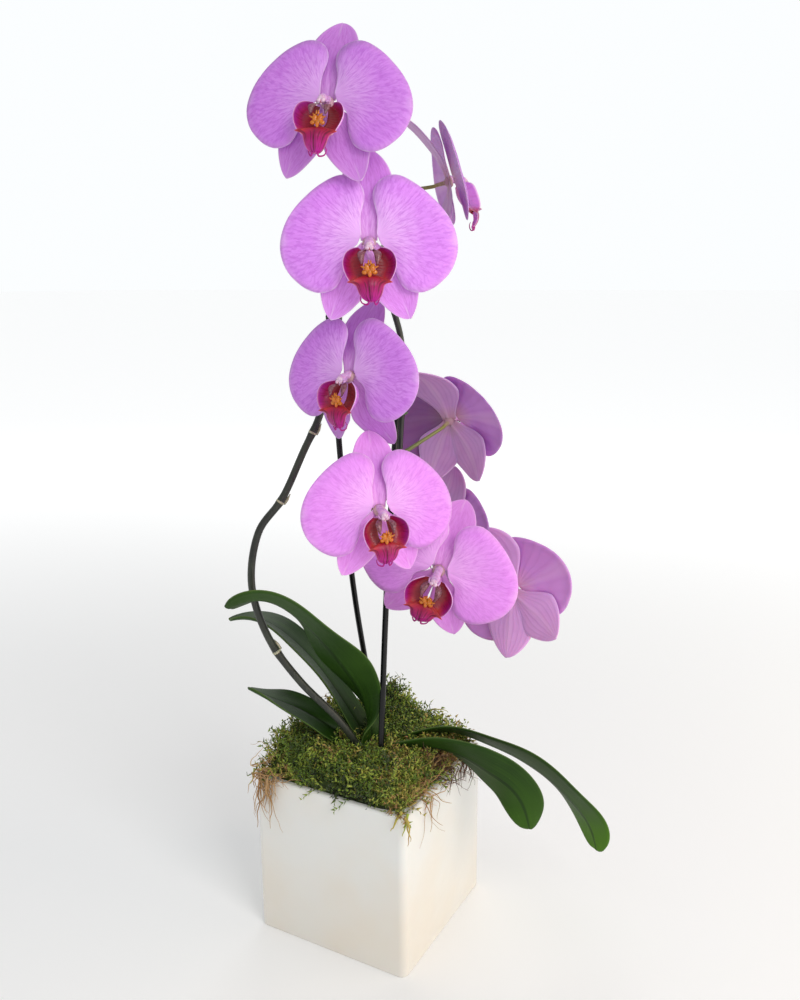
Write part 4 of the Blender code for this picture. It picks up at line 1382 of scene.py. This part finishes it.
class ORCHID_OT_stage(bpy.types.Operator):
    """Lay the floor and set up the lights and the camera"""

    bl_idname = "orchid.stage"
    bl_label = "Stage"

    def execute(self, context):
        chosen = settings("stage")
        scene = context.scene
        bm = bmesh.new()
        bmesh.ops.create_grid(bm, x_segments=1, y_segments=1, size=FLOOR_HALF)
        mesh = bpy.data.meshes.new("floor")
        bm.to_mesh(mesh)
        bm.free()
        look = Look("floor_white", Roughness=0.9, Emission_Strength=1.0)
        away = look.node("VectorMath", {"operation": "LENGTH"}, look.place(), out=1)
        near, far = (0.05, 0.05, 0.05, 1), (0.42, 0.42, 0.42, 1)
        look.feed("Emission Color", look.mix(away.between(0.3, 2.2), near, far))
        look.feed("Base Color", tuple(chosen.floor_colour))
        mesh.materials.append(look.material)
        floor = bpy.data.objects.new("floor", mesh)
        scene.collection.objects.link(floor)

        world = bpy.data.worlds.new("room")
        world.use_nodes = True
        room = world.node_tree.nodes["Background"]
        room.inputs["Color"].default_value = (0.97, 0.99, 1.0, 1)
        seen = world.node_tree.nodes.new("ShaderNodeLightPath")
        strength = world.node_tree.nodes.new("ShaderNodeMapRange")
        world.node_tree.links.new(seen.outputs["Is Camera Ray"], strength.inputs["Value"])
        strength.inputs["To Min"].default_value = chosen.sky
        strength.inputs["To Max"].default_value = 1.0
        world.node_tree.links.new(strength.outputs["Result"], room.inputs["Strength"])
        scene.world = world
        middle = (0.02, 0, 0.34)
        soft_light("key", (1.7, -0.9, 1.6), middle, 1.1, 21, (1.0, 0.97, 0.94))
        soft_light("warm_side", (1.3, 0.4, 0.35), (0, 0, 0.08), 0.8, 5, (1.0, 0.80, 0.58))
        soft_light("back", (-0.6, 1.7, 1.3), middle, 1.2, 6, (1, 1, 1))

        camera = bpy.data.cameras.new("camera")
        camera.lens = chosen.lens
        camera.sensor_width = 36
        obj = bpy.data.objects.new("camera", camera)
        heading = Matrix.Rotation(math.radians(CAMERA_HEADING), 4, "Z")
        pitch = Matrix.Rotation(math.radians(CAMERA_PITCH), 4, "X")
        roll = Matrix.Rotation(math.radians(CAMERA_ROLL), 4, "Z")
        obj.matrix_world = Matrix.Translation(CAMERA_PLACE) @ heading @ pitch @ roll
        scene.collection.objects.link(obj)
        scene.camera = obj
        scene.view_settings.view_transform = "Standard"
        return {"FINISHED"}


class ORCHID_PT_panel(bpy.types.Panel):
    """Lists the steps and the sizes and colours that they use"""

    bl_label = "Orchid"
    bl_idname = "ORCHID_PT_panel"
    bl_space_type = "VIEW_3D"
    bl_region_type = "UI"
    bl_category = "Orchid"

    def draw(self, context):
        for operator in OPERATORS:
            self.layout.operator(operator.bl_idname)
        for group in GROUPS:
            box = self.layout.box()
            chosen = settings(group)
            for field in chosen.bl_rna.properties:
                if field.identifier not in ("rna_type", "name"):
                    box.prop(chosen, field.identifier)


OPERATORS = (
    ORCHID_OT_pot,
    ORCHID_OT_moss,
    ORCHID_OT_leaves,
    ORCHID_OT_spike,
    ORCHID_OT_stakes,
    ORCHID_OT_flowers,
    ORCHID_OT_stage,
)
GROUPS = {"pot": PotSettings, "moss": MossSettings, "flower": FlowerSettings, "stage": StageSettings}


def register():
    for made in (*GROUPS.values(), *OPERATORS, ORCHID_PT_panel):
        bpy.utils.register_class(made)
    for name, group in GROUPS.items():
        setattr(bpy.types.Scene, "orchid_" + name, bpy.props.PointerProperty(type=group))


def unregister():
    for name in GROUPS:
        delattr(bpy.types.Scene, "orchid_" + name)
    for made in reversed((*GROUPS.values(), *OPERATORS, ORCHID_PT_panel)):
        bpy.utils.unregister_class(made)


def main():
    register()
    bpy.ops.orchid.pot()
    bpy.ops.orchid.moss()
    bpy.ops.orchid.leaves()
    bpy.ops.orchid.spike()
    bpy.ops.orchid.stakes()
    bpy.ops.orchid.flowers()
    bpy.ops.orchid.stage()
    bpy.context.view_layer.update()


if __name__ == "__main__":
    main()
